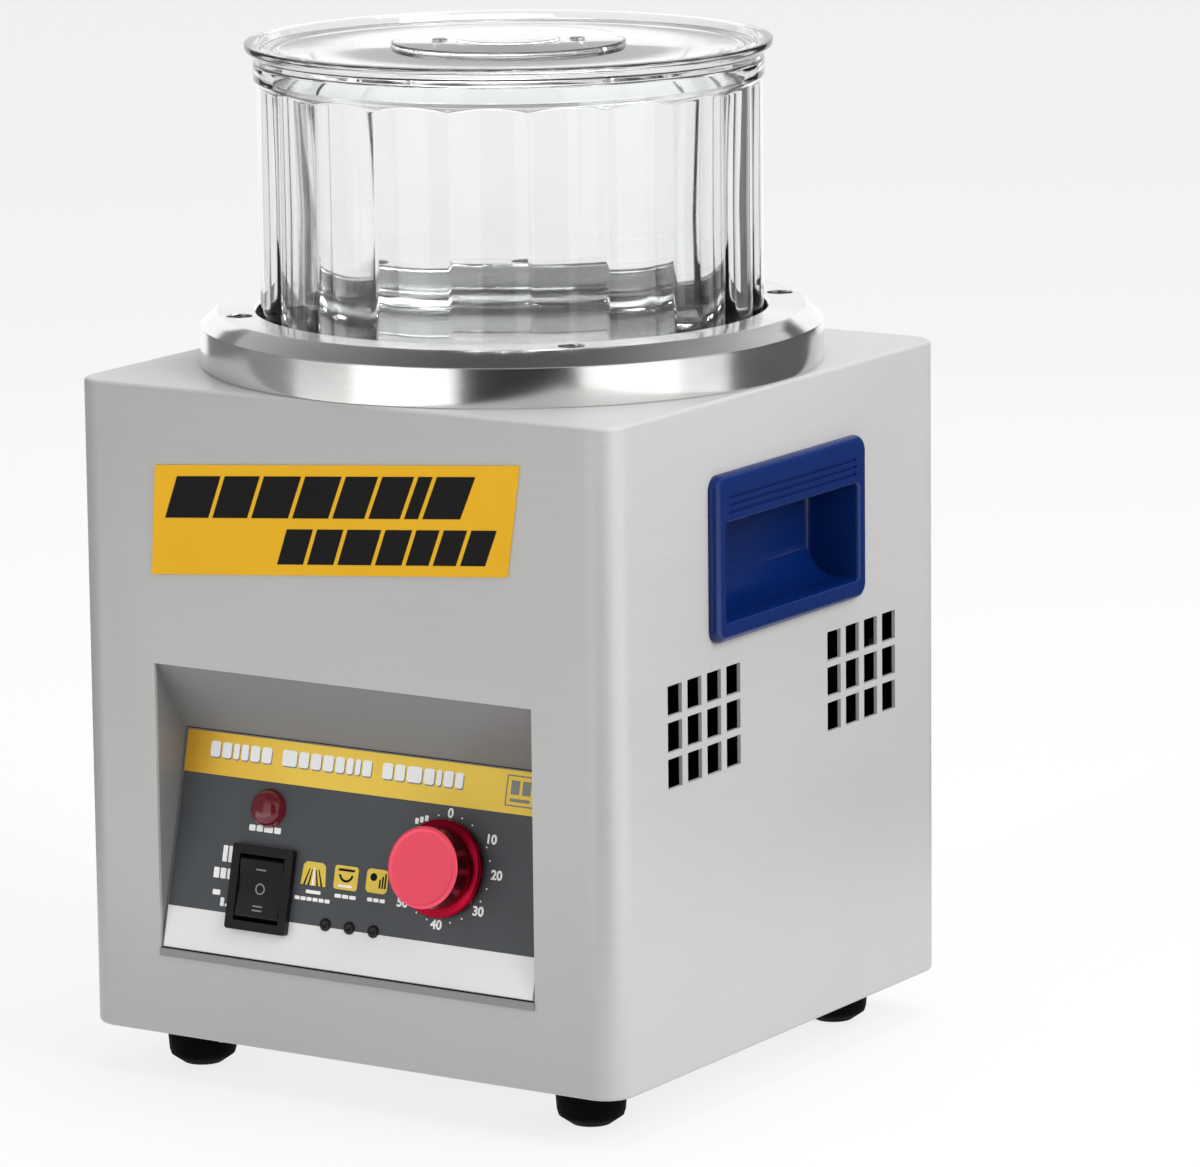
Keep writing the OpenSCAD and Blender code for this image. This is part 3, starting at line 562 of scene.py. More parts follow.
def make_bowl():
    bm = bmesh.new()
    pitch = 2 * pi / FLUTES
    local = [-0.5, -0.47, -0.40, -0.28, -0.14, 0.0, 0.14, 0.28, 0.40, 0.47]
    angles = [FLUTE_PHASE + (i + t) * pitch for i in range(FLUTES) for t in local]
    shoulder0, shoulder1, band_r = BOWL_Z1 - 11.5, BOWL_Z1 - 6.2, BOWL_R + 0.9

    def wall(a, z):
        r = flute_radius(a)
        if z > shoulder0:
            t = min(1.0, (z - shoulder0) / (shoulder1 - shoulder0))
            r = max(r, 92.6 + (band_r - 92.6) * (t * t * (3 - 2 * t)))
        return r
    rings = []
    for r, z in ((0, 0), (60, 0), (88, 0)):
        rings.append((lambda a, r=r: r, BOWL_Z0 + z))
    for k in range(1, 7):
        t = radians(90 * k / 6)
        rings.append((lambda a, t=t: flute_radius(a) - 6 * (1 - sin(t)),
                      BOWL_Z0 + 6 * (1 - cos(t))))
    for z in (BOWL_Z0 + 20, BOWL_Z0 + 45, BOWL_Z0 + 70, BOWL_Z0 + 95):
        rings.append((lambda a, z=z: wall(a, z), z))
    for k in range(0, 13):
        z = shoulder0 + (shoulder1 - shoulder0) * k / 12
        rings.append((lambda a, z=z: wall(a, z), z))
    rim = [(band_r, BOWL_Z1 - 0.8), (band_r - 0.25, BOWL_Z1 - 0.2), (band_r - 0.8, BOWL_Z1),
           (BOWL_R - 4.9, BOWL_Z1), (BOWL_R - 5.25, BOWL_Z1 - 0.3), (BOWL_R - 5.4, BOWL_Z1 - 0.9),
           (BOWL_R - 5.4, BOWL_Z0 + 60)]
    corner_r, floor_z, wall_r = 8.0, BOWL_Z0 + 3.4, BOWL_R - 5.4
    for k in range(0, 8):
        t = radians(90 * k / 7)
        rim.append((wall_r - corner_r * (1 - cos(t)), floor_z + corner_r * (1 - sin(t))))
    rim += [(55, floor_z), (20, floor_z), (0, floor_z)]
    for r, z in rim:
        rings.append((lambda a, r=r: r, z))
    made = []
    for radius, z in rings:
        if radius(0) == 0:
            made.append([bm.verts.new(upright(0, 0, z))])
        else:
            made.append([bm.verts.new(upright(radius(a) * cos(a), radius(a) * sin(a), z))
                         for a in angles])
    n = len(angles)
    for a, b in zip(made, made[1:]):
        for i in range(n):
            j = (i + 1) % n
            if len(a) == 1:
                bm.faces.new((a[0], b[i], b[j]))
            elif len(b) == 1:
                bm.faces.new((a[i], b[0], a[j]))
            else:
                bm.faces.new((a[i], b[i], b[j], a[j]))
    finish_piece("bowl_wall", bm, "clear_plastic", "bowl", angle=50, replaces=("tumbler_bowl",))


def make_lid():
    bm = bmesh.new()
    z0, z1, r = LID_Z0, LID_Z1, LID_R
    profile = [(0, z0), (BOWL_R - 9, z0), (BOWL_R - 9, z0 - 7), (BOWL_R - 5.9, z0 - 7),
               (BOWL_R - 5.9, z0), (BOWL_R + 0.9, z0), (BOWL_R + 0.9, z0 + 2.2), (r, z1 - 2.4),
               (r, z1), (r - 6, z1), (r - 7.6, z1 - 2.6), (44.4, z1 - 2.6), (44.4, z1 - 0.4),
               (19.5, z1 - 0.4), (19.5, z1 + 0.4), (0, z1 + 0.4)]
    rounds = [0.0, 0.5, 0.5, 0.3, 0.4, 0.5, 1.0, 0.9, 0.8, 0.6, 0.4, 0.8, 0.3, 0.5]
    lathe(bm, soft_profile(profile, rounds), upright, 192)
    finish_piece("lid_dish", bm, "clear_plastic", "lid", angle=50, replaces=("bowl_lid", "lid_disc"))
    bm = bmesh.new()
    for turn in (0, pi):
        cx, cy = 26 * cos(RIVET_TURN + turn), 26 * sin(RIVET_TURN + turn)
        place = axis_place((cx, cy, 0), (0, 0, 1))
        lathe(bm, [(0, z0 - 1), (2.6, z0 - 0.9), (3, z0 - 0.5), (3, z0), (1.5, z0), (1.5, z1 - 0.3),
                   (3, z1 - 0.3), (3, z1 + 0.05), (2.4, z1 + 0.36), (1.3, z1 + 0.48),
                   (0, z1 + 0.5)], place, 32)
    finish_piece("lid_rivet_pair", bm, "rivet_metal", "lid", replaces=("lid_rivets",))


# ---- handles
def make_handle(side, node):
    """Moulded pocket handle: pillow-edged flange, three grooves, and a pocket with a round lower back."""
    low, high = (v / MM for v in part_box(node))
    y0, y1, z0, z1 = low.y, high.y, low.z, high.z
    cy, cz, w, h = (y0 + y1) / 2, (z0 + z1) / 2, y1 - y0, z1 - z0
    face, deep = HALF + FLANGE_PROUD, HALF - POCKET_DEPTH
    pz0, pz1 = z0 + POCKET_RISE, z0 + POCKET_RISE + POCKET_H
    pcz, ph = (pz0 + pz1) / 2, POCKET_H

    def loop(bm, x, inset_w, inset_h, width, height, mid_z, radius):
        pts = rounded_rect(cy, mid_z, width - 2 * inset_w, height - 2 * inset_h, radius, 6)
        return [bm.verts.new(Vector((side * x, a, b)) * MM) for a, b in pts]
    bm = bmesh.new()
    pw = POCKET_W
    loops = [loop(bm, deep - 1.9, 0, 0, pw + 3.8, ph + 3.8, pcz, 2.5),
             loop(bm, HALF, 0, 0, pw + 3.8, ph + 3.8, pcz, 2.5),
             loop(bm, HALF, 0, 0, w, h, cz, FLANGE_CORNER)]
    edge = 3.2
    for k in range(0, 7):
        t = radians(90 * k / 6)
        d = edge * (1 - cos(t))
        loops.append(loop(bm, face - edge + edge * sin(t), d, d, w, h, cz, FLANGE_CORNER - d * 0.7))
    lip = 1.6
    for k in range(0, 5):
        t = radians(90 * k / 4)
        grow = lip * (1 - sin(t))
        loops.append(loop(bm, face - lip * (1 - cos(t)), -grow, -grow, pw, ph, pcz, 1.5 + grow))
    back = 2.6
    for k in range(0, 6):
        t = radians(90 * k / 5)
        d = back * (1 - cos(t))
        loops.append(loop(bm, deep + back - back * sin(t), d, d, pw, ph, pcz, max(0.6, 1.5 - d * 0.4)))
    for a, b in zip(loops, loops[1:]):
        for i in range(len(a)):
            j = (i + 1) % len(a)
            bm.faces.new((a[i], a[j], b[j], b[i]))
    bm.faces.new(loops[0])
    bm.faces.new(loops[-1])
    arc_r = 14.5
    section = [(deep - 0.4, pz0 - 0.4), (deep - 0.4, pz0 + arc_r)]
    for k in range(0, 17):
        t = radians(180 + 90 * k / 16)
        section.append((deep + arc_r + arc_r * cos(t), pz0 + arc_r + arc_r * sin(t)))
    section.append((deep + arc_r, pz0 - 0.4))

    def section_place(x, z, y):
        return Vector((side * x, y, z)) * MM
    slab(bm, section, cy - pw / 2 - 0.4, cy + pw / 2 + 0.4, section_place)
    ob = finish_piece("moulded_" + node, bm, "blue_plastic", "case", angle=32, replaces=(node,))
    cutter_bm = bmesh.new()
    for k in range(3):
        z = z1 - 14.1 + k * 2.8

        def groove_place(a, b, x):
            return Vector((side * x, a, b)) * MM
        slab(cutter_bm, rounded_rect(cy, z, w - 17.0, 1.0, 0.45, 4), face - 0.7, face + 2.0, groove_place)
    bmesh.ops.recalc_face_normals(cutter_bm, faces=cutter_bm.faces)
    cutter = to_object("cut", cutter_bm)
    mod = ob.modifiers.new("grooves", "BOOLEAN")
    mod.operation = "DIFFERENCE"
    mod.object = cutter
    mod.solver = "EXACT"
    mod.use_self = True
    bpy.context.view_layer.update()
    done = bpy.data.meshes.new_from_object(ob.evaluated_get(bpy.context.evaluated_depsgraph_get()))
    ob.modifiers.clear()
    ob.data = done
    shade(done, 32)
    bpy.data.objects.remove(cutter)


# ---- front
def make_badge():
    """Generic slanted blocks in two rows stand where the real badge carries words."""
    bm = bmesh.new()
    lo_l, lo_r, up_r, up_l = (-84.2, 178.3), (75.2, 192.1), (81.0, 233.7), (-81.6, 220.1)

    def place(u, w, h):
        """u 0..1 along the badge, w 0..1 up it."""
        x = (1 - w) * ((1 - u) * lo_l[0] + u * lo_r[0]) + w * ((1 - u) * up_l[0] + u * up_r[0])
        z = (1 - w) * ((1 - u) * lo_l[1] + u * lo_r[1]) + w * ((1 - u) * up_l[1] + u * up_r[1])
        return front_point(x, z + CASE_BOTTOM, h)
    rows = ((0.035, 0.52, 0.90, 0.030, (0.135, 0.11, 0.115, 0.112, 0.10, 0.098, 0.05, 0.115)),
            (0.36, 0.10, 0.42, 0.022, (0.085, 0.085, 0.105, 0.085, 0.075, 0.075, 0.08)))
    gap = 0.012
    for u, w0, w1, lean, widths in rows:
        for wide in widths:
            a, b = u, u + wide - gap
            slab(bm, [(a, w0), (b, w0), (b + lean, w1), (a + lean, w1)], 0.78, 0.92, place)
            u += wide
    finish_piece("badge_blocks", bm, "print_black", "case", slot="black_plastic")


def add_number(target, text, x, v):
    """Adds a dial number to target as a thin solid on the panel, centred at x, v."""
    cu = bpy.data.curves.new("dial", "FONT")
    cu.body = text
    cu.size = 4.9
    cu.align_x = "CENTER"
    cu.align_y = "CENTER"
    cu.extrude = 0.06
    cu.offset = 0.15
    tmp = bpy.data.objects.new("dial", cu)
    link(tmp)
    bpy.context.view_layer.update()
    me = bpy.data.meshes.new_from_object(tmp.evaluated_get(bpy.context.evaluated_depsgraph_get()))
    bpy.data.objects.remove(tmp)
    for vert in me.vertices:
        vert.co = panel_point(x + vert.co.x, v + vert.co.y, FILM + 0.06 + vert.co.z)
    target.from_mesh(me)
    bpy.data.meshes.remove(me)


def make_prints():
    """Everything printed on the panel film, as thin raised ink."""
    ink0, ink1 = FILM - INK_SINK, FILM + INK_PROUD
    white = bmesh.new()

    def bar(x0, x1, v0, v1, bm=white, r=0.35):
        corner = min(r, (v1 - v0) * 0.45)
        outline = rounded_rect((x0 + x1) / 2, (v0 + v1) / 2, x1 - x0, v1 - v0, corner, 3)
        slab(bm, outline, ink0, ink1, panel_point)
    # title strip: plain rounded blocks in place of words
    x, widths = -72.0, (4.4, 4.2, 2.6, 3.2, 4.2, 4.4, 0, 6.6, 4.4, 4.6, 4.6, 4.0, 3.0, 2.2, 4.0, 0,
                        4.6, 4.4, 6.6, 4.6, 2.2, 4.2, 3.4)
    shadow = bmesh.new()
    for w in widths:
        if w:
            slab(shadow, rounded_rect(x + w / 2 + 0.4, 76.7, w, 6.0, 1.0, 3), ink0, FILM + 0.05, panel_point)
            slab(white, rounded_rect(x + w / 2, 77.2, w, 6.0, 1.0, 3), ink0, ink1, panel_point)
            x += w + 1.0
        else:
            x += 4.0
    finish_piece("title_block_edges", shadow, "print_grey", "case", slot="black_plastic")
    # lamp caption and switch labels
    for x0, x1 in ((-50.4, -47.6), (-47.0, -44.2), (-43.6, -39.6), (-39.0, -36.0)):
        bar(x0, x1, 48.4, 50.7)
    for k in range(2):
        bar(-61.0 + k * 2.7, -58.9 + k * 2.7, 35.4, 41.6)
    for k in range(3):
        bar(-64.2 + k * 3.1, -61.7 + k * 3.1, 29.0, 33.0)
    bar(-63.7, -60.2, 22.6, 24.6)
    bar(-59.7, -58.0, 18.6, 21.9)
    bar(-57.5, -55.9, 18.6, 19.8)
    # captions below the three symbols
    for cx, v, w in ((-18.4, 25.9, 16.4), (-3.8, 28.6, 10.0), (10.1, 28.9, 8.4)):
        n = max(3, int(w / 2.6))
        step = w / n
        for k in range(n):
            bar(cx - w / 2 + k * step + 0.25, cx - w / 2 + (k + 1) * step - 0.25, v - 0.7, v + 0.7, r=0.3)
    bar(-21.6, -15.0, 28.0, 29.3, r=0.3)
    # dial scale
    for deg in range(0, 360, 15):
        if deg % 45:
            a = radians(90 - deg)
            cx, cy = KNOB[0] + DIAL_TICK_R * cos(a), KNOB[1] + DIAL_TICK_R * sin(a)
            slab(white, circle_points(cx, cy, 0.35, 8), ink0, ink1, panel_point)
    for text, x, v in (("0", 38.6, 64.6), ("10", 57.6, 57.0), ("20", 61.7, 44.1), ("30", 55.4, 30.0),
                       ("40", 37.8, 23.0), ("50", 21.8, 29.4), ("60", 16.2, 44.0)):
        add_number(white, text, x, v)
    for k in range(3):
        bar(23.4 + k * 2.1, 24.9 + k * 2.1, 59.2 + k * 0.7, 61.4 + k * 0.7)
    finish_piece("panel_ink_white", white, "print_white", "case", angle=25, slot="white_film")
    # outlined box at the right of the title strip, with two plain blocks
    dark = bmesh.new()
    for x0, x1, v0, v1 in ((61.5, 74.0, 81.3, 81.8), (61.5, 74.0, 70.2, 70.7), (61.5, 62.0, 70.7, 81.3),
                           (73.5, 74.0, 70.7, 81.3), (63.6, 67.3, 74.6, 79.8), (68.6, 72.2, 74.6, 79.8),
                           (63.6, 72.2, 71.9, 73.1)):
        bar(x0, x1, v0, v1, dark, r=0.2)
    finish_piece("title_box", dark, "print_grey", "case", slot="black_plastic")


def make_symbols():
    """Three plain yellow symbols between the switch and the dial."""
    yellow, white, dark = bmesh.new(), bmesh.new(), bmesh.new()
    base = (FILM - INK_SINK, FILM + INK_PROUD)
    over = (FILM + INK_PROUD - INK_SINK, FILM + INK_SECOND)

    def put(bm, layer, outline):
        slab(bm, outline, *layer, panel_point)
    # arch with spread rays
    cx, cy = -18.8, 35.5
    put(yellow, base, [(cx - 5.6, cy - 4.4), (cx + 5.6, cy - 4.4), (cx + 5.0, cy + 3.2), (cx + 3.6, cy + 4.4),
                       (cx - 3.6, cy + 4.4), (cx - 5.0, cy + 3.2)])
    put(white, over, [(cx - 0.6, cy - 4.4), (cx + 0.6, cy - 4.4), (cx + 0.25, cy + 2.2),
                      (cx - 0.25, cy + 2.2)])
    for s in (-1, 1):
        for x0, x1, x2, x3, rise in ((1.6, 2.4, 1.0, 0.7, 1.6), (3.6, 4.4, 2.2, 1.8, 1.8)):
            put(dark, over, [(cx + s * x0, cy - 4.4), (cx + s * x1, cy - 4.4), (cx + s * x2, cy + rise),
                             (cx + s * x3, cy + rise)])
    # square with a bowl and a wave
    cx, cy = -4.3, 35.6
    put(yellow, base, rounded_rect(cx, cy, 10.6, 9.0, 1.2))
    arc_band(dark, cx, cy + 1.6, 2.4, 3.3, 190, 350, *over, panel_point, 12)
    put(dark, over, rounded_rect(cx, cy + 2.9, 7.4, 0.9, 0.4, 3, 0.6))
    put(white, over, rounded_rect(cx, cy - 3.1, 6.4, 0.9, 0.4, 3))
    # square with a dot and three bars
    cx, cy = 9.6, 36.0
    put(yellow, base, rounded_rect(cx, cy, 9.6, 9.0, 1.8))
    put(dark, over, circle_points(cx - 1.6, cy + 1.4, 1.5, 20))
    for k in range(3):
        put(dark, over, rounded_rect(cx + 1.4 + k * 1.2, cy - 0.9 + k * 0.6, 0.7, 3.4 + k * 1.2, 0.3, 3))
    finish_piece("symbols_yellow", yellow, "icon_yellow", "case", slot="yellow_film")
    finish_piece("symbols_white", white, "print_white", "case", slot="white_film")
    finish_piece("symbols_dark", dark, "print_black", "case", slot="black_plastic")


def make_lamp():
    bm = bmesh.new()
    place = panel_axis(*LAMP)
    profile = [(5.2, FILM + 0.02), (7.4, FILM + 0.02), (7.4, 0.9), (7.0, 1.6), (6.8, 2.4), (6.3, 3.6),
               (5.2, 4.9), (3.7, 5.7), (1.9, 6.08), (0, 6.18)]
    lathe(bm, profile, place, 64)
    lathe(bm, [(5.2, FILM + 0.02), (0, FILM + 0.02)], place, 64)
    finish_piece("lamp_dome", bm, "red_lens", "case", angle=60, replaces=("lamp_lens",))


def make_plugs():
    bm = bmesh.new()
    for i in (-1, 0, 1):
        place = panel_axis(i * 10.8 - 0.3, 17.2)
        lathe(bm, [(0, -3.5), (1.3, -3.5), (1.3, FILM + 0.02), (2.4, FILM + 0.02), (2.4, 0.8), (2.2, 1.1),
                   (1.7, 1.32), (0.9, 1.4), (0.75, 1.2), (0, 1.15)], place, 40)
    finish_piece("plug_caps", bm, "black_plastic", "case", angle=60, replaces=("panel_plugs",))


def make_rocker_marks():
    bm = bmesh.new()

    def place(x, y, h):
        """Marks lie on the shallow V of the rocker's face."""
        return panel_point(SWITCH[0] + x, SWITCH[1] + y, ROCKER_H + 4.9 + abs(y) * 1.2 / 13.0 + h)
    slab(bm, rounded_rect(0, 7.2, 4.6, 0.55, 0.2, 3), -0.05, 0.06, place)
    for dv in (-6.6, -8.2):
        slab(bm, rounded_rect(0, dv, 4.4, 0.55, 0.2, 3), -0.05, 0.06, place)
    arc_band(bm, 0, 0, 1.6, 2.15, 0, 360, -0.05, 0.06, place, 32)
    finish_piece("rocker_marks", bm, "print_grey", "rocker", slot="white_film")


def make_knob():
    bm = bmesh.new()
    place = panel_axis(*KNOB)
    profile = [(3.05, 1.6), (17.4, 1.6), (18.2, 1.8), (18.4, 2.3), (18.4, 4.1), (18.1, 4.5), (17.4, 4.8),
               (15.8, 5.15), (15.35, 5.5), (15.25, 6.2), (15.3, 14.6), (15.3, 15.15), (15.05, 15.65),
               (14.6, 15.9), (14.1, 15.96), (13.9, 15.86), (13.0, 15.82), (6.0, 15.86), (0, 15.88)]
    lathe(bm, profile, place, 144, 1)
    lathe(bm, [(0, 12.0), (3.05, 12.0), (3.05, 1.6)], place, 144, 1)
    out = (panel_point(0, 0, 1) - panel_point(0, 0, 0)).normalized()
    face_h = panel_point(0, 0, 15.3).dot(out)
    # the top face takes knob_aluminium; the flank and flange keep knob_flank, the darker copy of the same red
    # as painted shade
    for f in bm.faces:
        if f.calc_center_median().dot(out) > face_h:
            f.material_index = 0
    finish_piece("knob_turned", bm, ["knob_aluminium", "knob_flank"], "knob", angle=40,
                 replaces=("timer_knob",))


# ---- back and small parts
def screw_head(bm, centre, axis, radius, height, shank, turn=0.0):
    """Pan head with a cross recess, plus its shank."""
    base = axis_place(centre, axis)
    c, s = cos(turn), sin(turn)

    def place(x, y, z):
        return base(x * c - y * s, x * s + y * c, z)
    arm, half_w, deep = radius * 0.56, radius * 0.11, height * 0.45
    seg = 48
    dome = [(radius, 0.0), (radius, height * 0.35), (radius * 0.94, height * 0.62),
            (radius * 0.8, height * 0.84)]
    lathe(bm, [(radius * 0.45, -shank), (radius * 0.45, 0.0)] + dome, place, seg)
    lathe(bm, [(0, -shank), (radius * 0.45, -shank)], place, seg)
    ring = [(dome[-1][0] * cos(2 * pi * i / seg), dome[-1][0] * sin(2 * pi * i / seg))
            for i in range(seg)]
    cross = [(arm, -half_w), (arm, half_w), (half_w, half_w), (half_w, arm), (-half_w, arm),
             (-half_w, half_w), (-arm, half_w), (-arm, -half_w), (-half_w, -half_w), (-half_w, -arm),
             (half_w, -arm), (half_w, -half_w)]
    outer = [bm.verts.new(place(x, y, dome[-1][1])) for x, y in ring]
    mouth = [bm.verts.new(place(x, y, height)) for x, y in cross]
    floor = [bm.verts.new(place(x * 0.8, y * 0.8, height - deep)) for x, y in cross]
    for i in range(12):
        j = (i + 1) % 12
        bm.faces.new((mouth[j], mouth[i], floor[i], floor[j]))
    bm.faces.new(floor)
    # the crown between the head's edge and the cross, joined by nearest direction
    ang = [atan2(y, x) % (2 * pi) for x, y in ring]
    cang = [atan2(y, x) % (2 * pi) for x, y in cross]
    order = sorted(range(12), key=lambda k: cang[k])
    nearest = [min(order, key=lambda k: abs((cang[k] - a + pi) % (2 * pi) - pi)) for a in ang]
    for i in range(seg):
        j = (i + 1) % seg
        p, q = nearest[i], nearest[j]
        if p == q:
            bm.faces.new((outer[i], outer[j], mouth[p]))
        else:
            steps = [p]
            while steps[-1] != q and len(steps) < 12:
                steps.append((steps[-1] + 1) % 12)
            bm.faces.new([outer[i], outer[j]] + [mouth[k] for k in reversed(steps)])


def make_screws():
    """Cross-recess screws on the back, the fan, the inlet and underneath."""
    back, down, sides = (0, 1, 0), (0, 0, -1), (-1, 1)
    spots = [(x, z) for x in (-92, 92) for z in (40, 146, 252)]
    sets = (
        ("back", [((x, BACK_Y, z), back, 4.0, 2.0, 8.0, 0.4 * k) for k, (x, z) in enumerate(spots)]),
        ("fan", [((FAN[0] + sx * SCREW_PITCH, BACK_Y + 1.8, FAN[1] + sz * SCREW_PITCH), back, 3.8, 2.0, 25.0,
                  0.3 + 0.5 * sx + 0.2 * sz) for sx in sides for sz in sides]),
        ("inlet", [((52 + sx * 20, BACK_Y + 3, 82), back, 3.0, 1.7, 9.0, 0.6 + sx * 0.35) for sx in sides]),
        ("base", [(spot, down, 3.6, 2.0, 5.0, turn) for sx in sides for t in (-62, 62)
                  for spot, turn in (((sx * 111, t, CASE_BOTTOM), 0.2 * t),
                                     ((t, sx * 111, CASE_BOTTOM), 0.3 * t))]))
    for name, screws in sets:
        bm = bmesh.new()
        for screw in screws:
            screw_head(bm, *screw)
        finish_piece(name + "_screw_set", bm, "zinc_screw", "case", angle=40, replaces=(name + "_screws",))


def tube_path(bm, points):
    """Round wire through points (metres), with flat ends."""
    rings, around = [], 12
    for k, p in enumerate(points):
        d = (points[min(k + 1, len(points) - 1)] - points[max(k - 1, 0)]).normalized()
        side = d.cross(Vector((0.31, 0.57, 0.76))).normalized()
        up = d.cross(side)
        rings.append([bm.verts.new(p + (side * cos(2 * pi * i / around)
                                        + up * sin(2 * pi * i / around)) * WIRE * MM)
                      for i in range(around)])
    for a, b in zip(rings, rings[1:]):
        for i in range(around):
            j = (i + 1) % around
            bm.faces.new((a[i], a[j], b[j], b[i]))
    bm.faces.new(rings[0])
    bm.faces.new(rings[-1])


def make_fan_guard():
    """Round wire rings on four bent legs with flat eyes under the fan screws."""
    place = axis_place((FAN[0], BACK_Y, FAN[1]), (0, 1, 0))
    top = BACK_MAX_Y - BACK_Y - 0.92
    bm = bmesh.new()
    around = [2 * pi * k / 12 for k in range(12)]
    for r in (12, 20, 28, 36):
        lathe(bm, [(r + WIRE * cos(b), top + WIRE * sin(b)) for b in around], place, closed=True)
    for a in (45, 135, 225, 315):
        c, s = cos(radians(a)), sin(radians(a))
        path = [(11.2, top - 1.7), (20, top - 1.7), (30, top - 1.7), (36.6, top - 1.7), (38.4, top - 2.1),
                (39.4, top - 3.2), (40.4, 1.6), (41.6, 1.0), (43.4, 0.95), (47.0, 0.95)]
        tube_path(bm, [place(r * c, r * s, z) for r, z in path])

        def local(x, y, z, c=c, s=s):
            return place(50.55 * c + x, 50.55 * s + y, z)
        lathe(bm, [(2.25, 0.02), (4.3, 0.02), (4.4, 0.3), (4.4, 1.5), (4.3, 1.78), (2.25, 1.78)], local, 40,
              closed=True)
    finish_piece("fan_guard_wire", bm, "guard_wire", "case", angle=60, replaces=("fan_guard",))


def make_impeller():
    """Hub with a flat, round-edged cap and seven curved, twisted blades."""
    place = axis_place((FAN[0], HALF - 20.5, FAN[1]), (0, 1, 0))
    bm = bmesh.new()
    lathe(bm, soft_profile([(0, 0), (17.5, 0), (17.5, 18.5), (0, 18.5)], [0.6, 1.6]), place, 96)
    rows, cols = 9, 9
    for b in range(7):
        base = 2 * pi * b / 7
        grid = []
        for i in range(rows):
            t = i / (rows - 1)
            r = 16.8 + t * (36.6 - 16.8)
            pitch = radians(52 - 20 * t)
            chord = 15.0 + 5.5 * t
            line = []
            for j in range(cols):
                u = j / (cols - 1) - 0.5
                across = u * chord * cos(pitch)
                along = 9.2 + u * chord * sin(pitch) + 1.4 * (1 - 4 * u * u) * 0.8
                a = base + across / r + 0.16 * t * t
                along = min(17.6, max(0.9, along))
                line.append((r * cos(a), r * sin(a), along))
            grid.append(line)
        half_t = 0.55
        top = [[bm.verts.new(place(x, y, z + half_t)) for x, y, z in line] for line in grid]
        low = [[bm.verts.new(place(x, y, z - half_t)) for x, y, z in line] for line in grid]
        for i in range(rows - 1):
            for j in range(cols - 1):
                bm.faces.new((top[i][j], top[i + 1][j], top[i + 1][j + 1], top[i][j + 1]))
                bm.faces.new((low[i][j], low[i][j + 1], low[i + 1][j + 1], low[i + 1][j]))
        edge = ([(i, 0) for i in range(rows)] + [(rows - 1, j) for j in range(1, cols)]
                + [(i, cols - 1) for i in range(rows - 2, -1, -1)] + [(0, j) for j in range(cols - 2, 0, -1)])
        for (i0, j0), (i1, j1) in zip(edge, edge[1:] + edge[:1]):
            bm.faces.new((top[i0][j0], top[i1][j1], low[i1][j1], low[i0][j0]))
    finish_piece("fan_blades", bm, "black_plastic", "fan", angle=35, replaces=("fan_impeller",))


# ---- stage
def make_stage():
    bm = bmesh.new()
    r = 30.0
    bm.faces.new([bm.verts.new((x, y, 0)) for x, y in ((-r, -r), (r, -r), (r, r), (-r, r))])
    floor = to_object("floor", bm)
    mat = bpy.data.materials.new("floor_pale")
    mat.use_nodes = True
    b = mat.node_tree.nodes["Principled BSDF"]
    b.inputs["Base Color"].default_value = (0.12, 0.12, 0.12, 1)
    b.inputs["Roughness"].default_value = 0.9
    b.inputs["Specular IOR Level"].default_value = 0.1
    b.inputs["Emission Color"].default_value = (1, 1, 1, 1)
    b.inputs["Emission Strength"].default_value = 0.80
    floor.data.materials.append(mat)


# light tent sectors: first and last angle in degrees, brightness of the lower and upright card
TENT = ((-19, 24, 0.01, 0.02), (24, 62, 1.7, 1.1), (62, 84, 1.5, 0.6), (84, 148, 0.10, 0.10),
        (148, 212, 1.08, 1.08), (212, 250, 0.12, 0.20), (250, 276, 0.25, 0.25), (276, 302, 1.8, 0.25),
        (302, 341, 1.9, 1.1))
# dark strips seen only through clear parts: first and last angle, and their brightness
STRIPS = ((96, 106), (122, 136), (224, 238), (254, 264))
STRIP_GREY = 0.16


def card(name, t0, t1, values, clear):
    """One sector of the light tent, from t0 to t1 degrees round from the camera's side. It shows only
    in reflections, or where clear is true only through clear parts."""
    facing = atan2(-0.8434, 0.5373)
    near, far, low, high = 0.36, 1.6, 0.002, 1.1
    bm = bmesh.new()
    lines, n = [], 8
    for i in range(n + 1):
        a = facing + radians(t0 + (t1 - t0) * i / n)
        lines.append([bm.verts.new((r * cos(a), r * sin(a), z))
                      for r, z in ((near, low), (far, low), (far, high))])
    for a, b in zip(lines, lines[1:]):
        for j in range(2):
            bm.faces.new((a[j], b[j], b[j + 1], a[j + 1])).material_index = j
    ob = to_object(name, bm)
    for part, strength in zip(("floor", "wall"), values):
        mat = bpy.data.materials.new(f"{name}_{part}")
        mat.use_nodes = True
        mat.node_tree.nodes.clear()
        glow = add_node(mat.node_tree, "ShaderNodeEmission",
                        {"Color": (1.0, 1.0, 0.99, 1), "Strength": strength})
        add_node(mat.node_tree, "ShaderNodeOutputMaterial", {"Surface": glow.outputs[0]})
        ob.data.materials.append(mat)
    ob.visible_camera = False
    ob.visible_diffuse = False
    ob.visible_shadow = False
    ob.visible_volume_scatter = False
    ob.visible_glossy = not clear
    ob.visible_transmission = clear


def make_tent():
    """Plain cards of the light tent: bright and dark sectors, and narrow dark strips at both sides."""
    for k, (t0, t1, low, high) in enumerate(TENT):
        card(f"card_{k}", t0, t1, (low, high), False)
    for k, (t0, t1) in enumerate(STRIPS):
        card(f"strip_{k}", t0, t1, (STRIP_GREY, STRIP_GREY), True)


# area lights: name, place, aim, size and power; none of them shows in reflections
LIGHTS = (("key", (-0.9, -0.9, 1.0), (0, 0, 0.25), 0.7, 3.0),
          ("side", (1.5, -0.15, 1.3), (0, 0, 0.25), 1.1, 30.0),
          ("top", (0.1, 0.2, 2.3), (0, 0, 0.2), 1.2, 36.0))


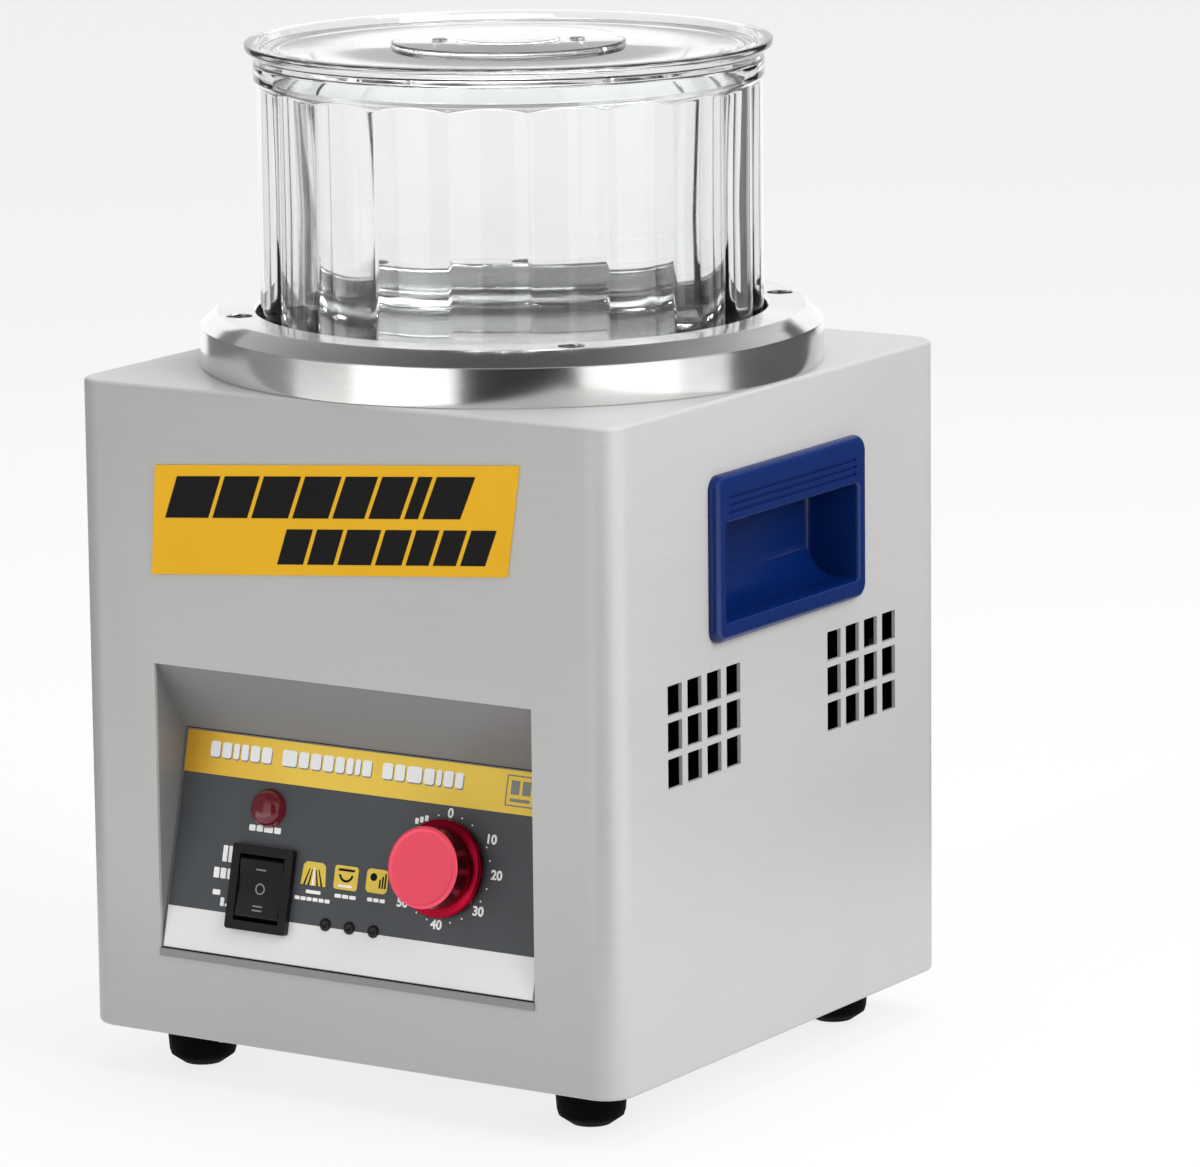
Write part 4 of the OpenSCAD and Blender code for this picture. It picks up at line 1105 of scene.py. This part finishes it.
def make_lights():
    world = bpy.data.worlds.new("studio")
    bpy.context.scene.world = world
    world.use_nodes = True
    t = world.node_tree
    bg = t.nodes["Background"]
    coord = add_node(t, "ShaderNodeTexCoord").outputs["Generated"]
    height = add_node(t, "ShaderNodeSeparateXYZ", {0: coord}).outputs["Z"]
    upward = add_ramp(t, height, ((0.0, 0.92), (0.26, 0.92), (0.52, 0.50), (0.85, 0.22), (1.0, 0.08)))
    bright_side = Vector((0.78, 0.42, 0.35)).normalized()
    dot = add_node(t, "ShaderNodeVectorMath", {0: coord, 1: bright_side}, operation="DOT_PRODUCT")
    side = add_node(t, "ShaderNodeMapRange",
                    {"Value": dot.outputs["Value"], 1: -1.0, 2: 1.0, 3: 0.62, 4: 1.38})
    light = add_node(t, "ShaderNodeMath", {0: upward, 1: side.outputs[0]}, operation="MULTIPLY").outputs[0]
    # the camera itself sees one even pale grey
    seen = add_node(t, "ShaderNodeLightPath").outputs["Is Camera Ray"]
    even = add_node(t, "ShaderNodeMix", {0: seen, 2: light, 3: 0.885})
    t.links.new(even.outputs[0], bg.inputs["Strength"])
    bg.inputs["Color"].default_value = (1.0, 0.998, 0.99, 1)
    for name, place, aim, size, energy in LIGHTS:
        light = bpy.data.lights.new(name, "AREA")
        light.shape = "SQUARE"
        light.size = size
        light.energy = energy
        ob = bpy.data.objects.new(name, light)
        ob.location = place
        ob.rotation_euler = (Vector(aim) - Vector(place)).to_track_quat("-Z", "Y").to_euler()
        ob.visible_glossy = False
        link(ob)
    bpy.context.scene.view_settings.view_transform = "Standard"


# ---- assembly
# faces of these parts that face into the case take case_inside, near-black painted shade
HIDDEN = {"back_panel": lambda f: f.normal.y < -0.5,
          "base_plate": lambda f: f.normal.z > 0.5,
          "control_recess": lambda f: f.calc_center_median().y > -0.1185 and (
              f.normal.y > 0.05 or f.normal.z > 0.5 or (abs(f.calc_center_median().x) > 0.0849
                                                         and abs(f.normal.x) > 0.5))}


def main():
    make_camera()
    MATS.update(make_materials())
    slots = {s["node"]: s["material_slot"] for s in frame["record"]["subparts"]}
    for node, ob in NODES.items():
        ob.data.materials.clear()
        ob.data.materials.append(MATS["title_yellow" if node == "title_strip" else slots[node]])
    for node, bevel, segments in (
            ("clamp_ring", 0.4, 3), ("ring_screws", 0.25, 2), ("top_pan", 0.3, 2), ("rubber_feet", 0.6, 3),
            ("switch_housing", 0.5, 3), ("switch_rocker", 0.35, 3), ("power_inlet", 0.5, 2),
            ("fuse_drawer", 0.35, 2), ("back_panel", 0.3, 2), ("fan_frame", 0.4, 2),
            ("control_recess", 0.25, 2), ("base_plate", 0.3, 2), ("front_badge", 0.12, 1)):
        refine(node, slots[node], bevel, segments, HIDDEN.get(node))
    make_case()
    for side, node in ((1, "handle_right"), (-1, "handle_left")):
        make_handle(side, node)
    make_bowl()
    make_lid()
    make_badge()
    make_prints()
    make_symbols()
    make_lamp()
    make_plugs()
    make_rocker_marks()
    make_knob()
    make_screws()
    make_fan_guard()
    make_impeller()
    make_stage()
    make_tent()
    make_lights()


main()
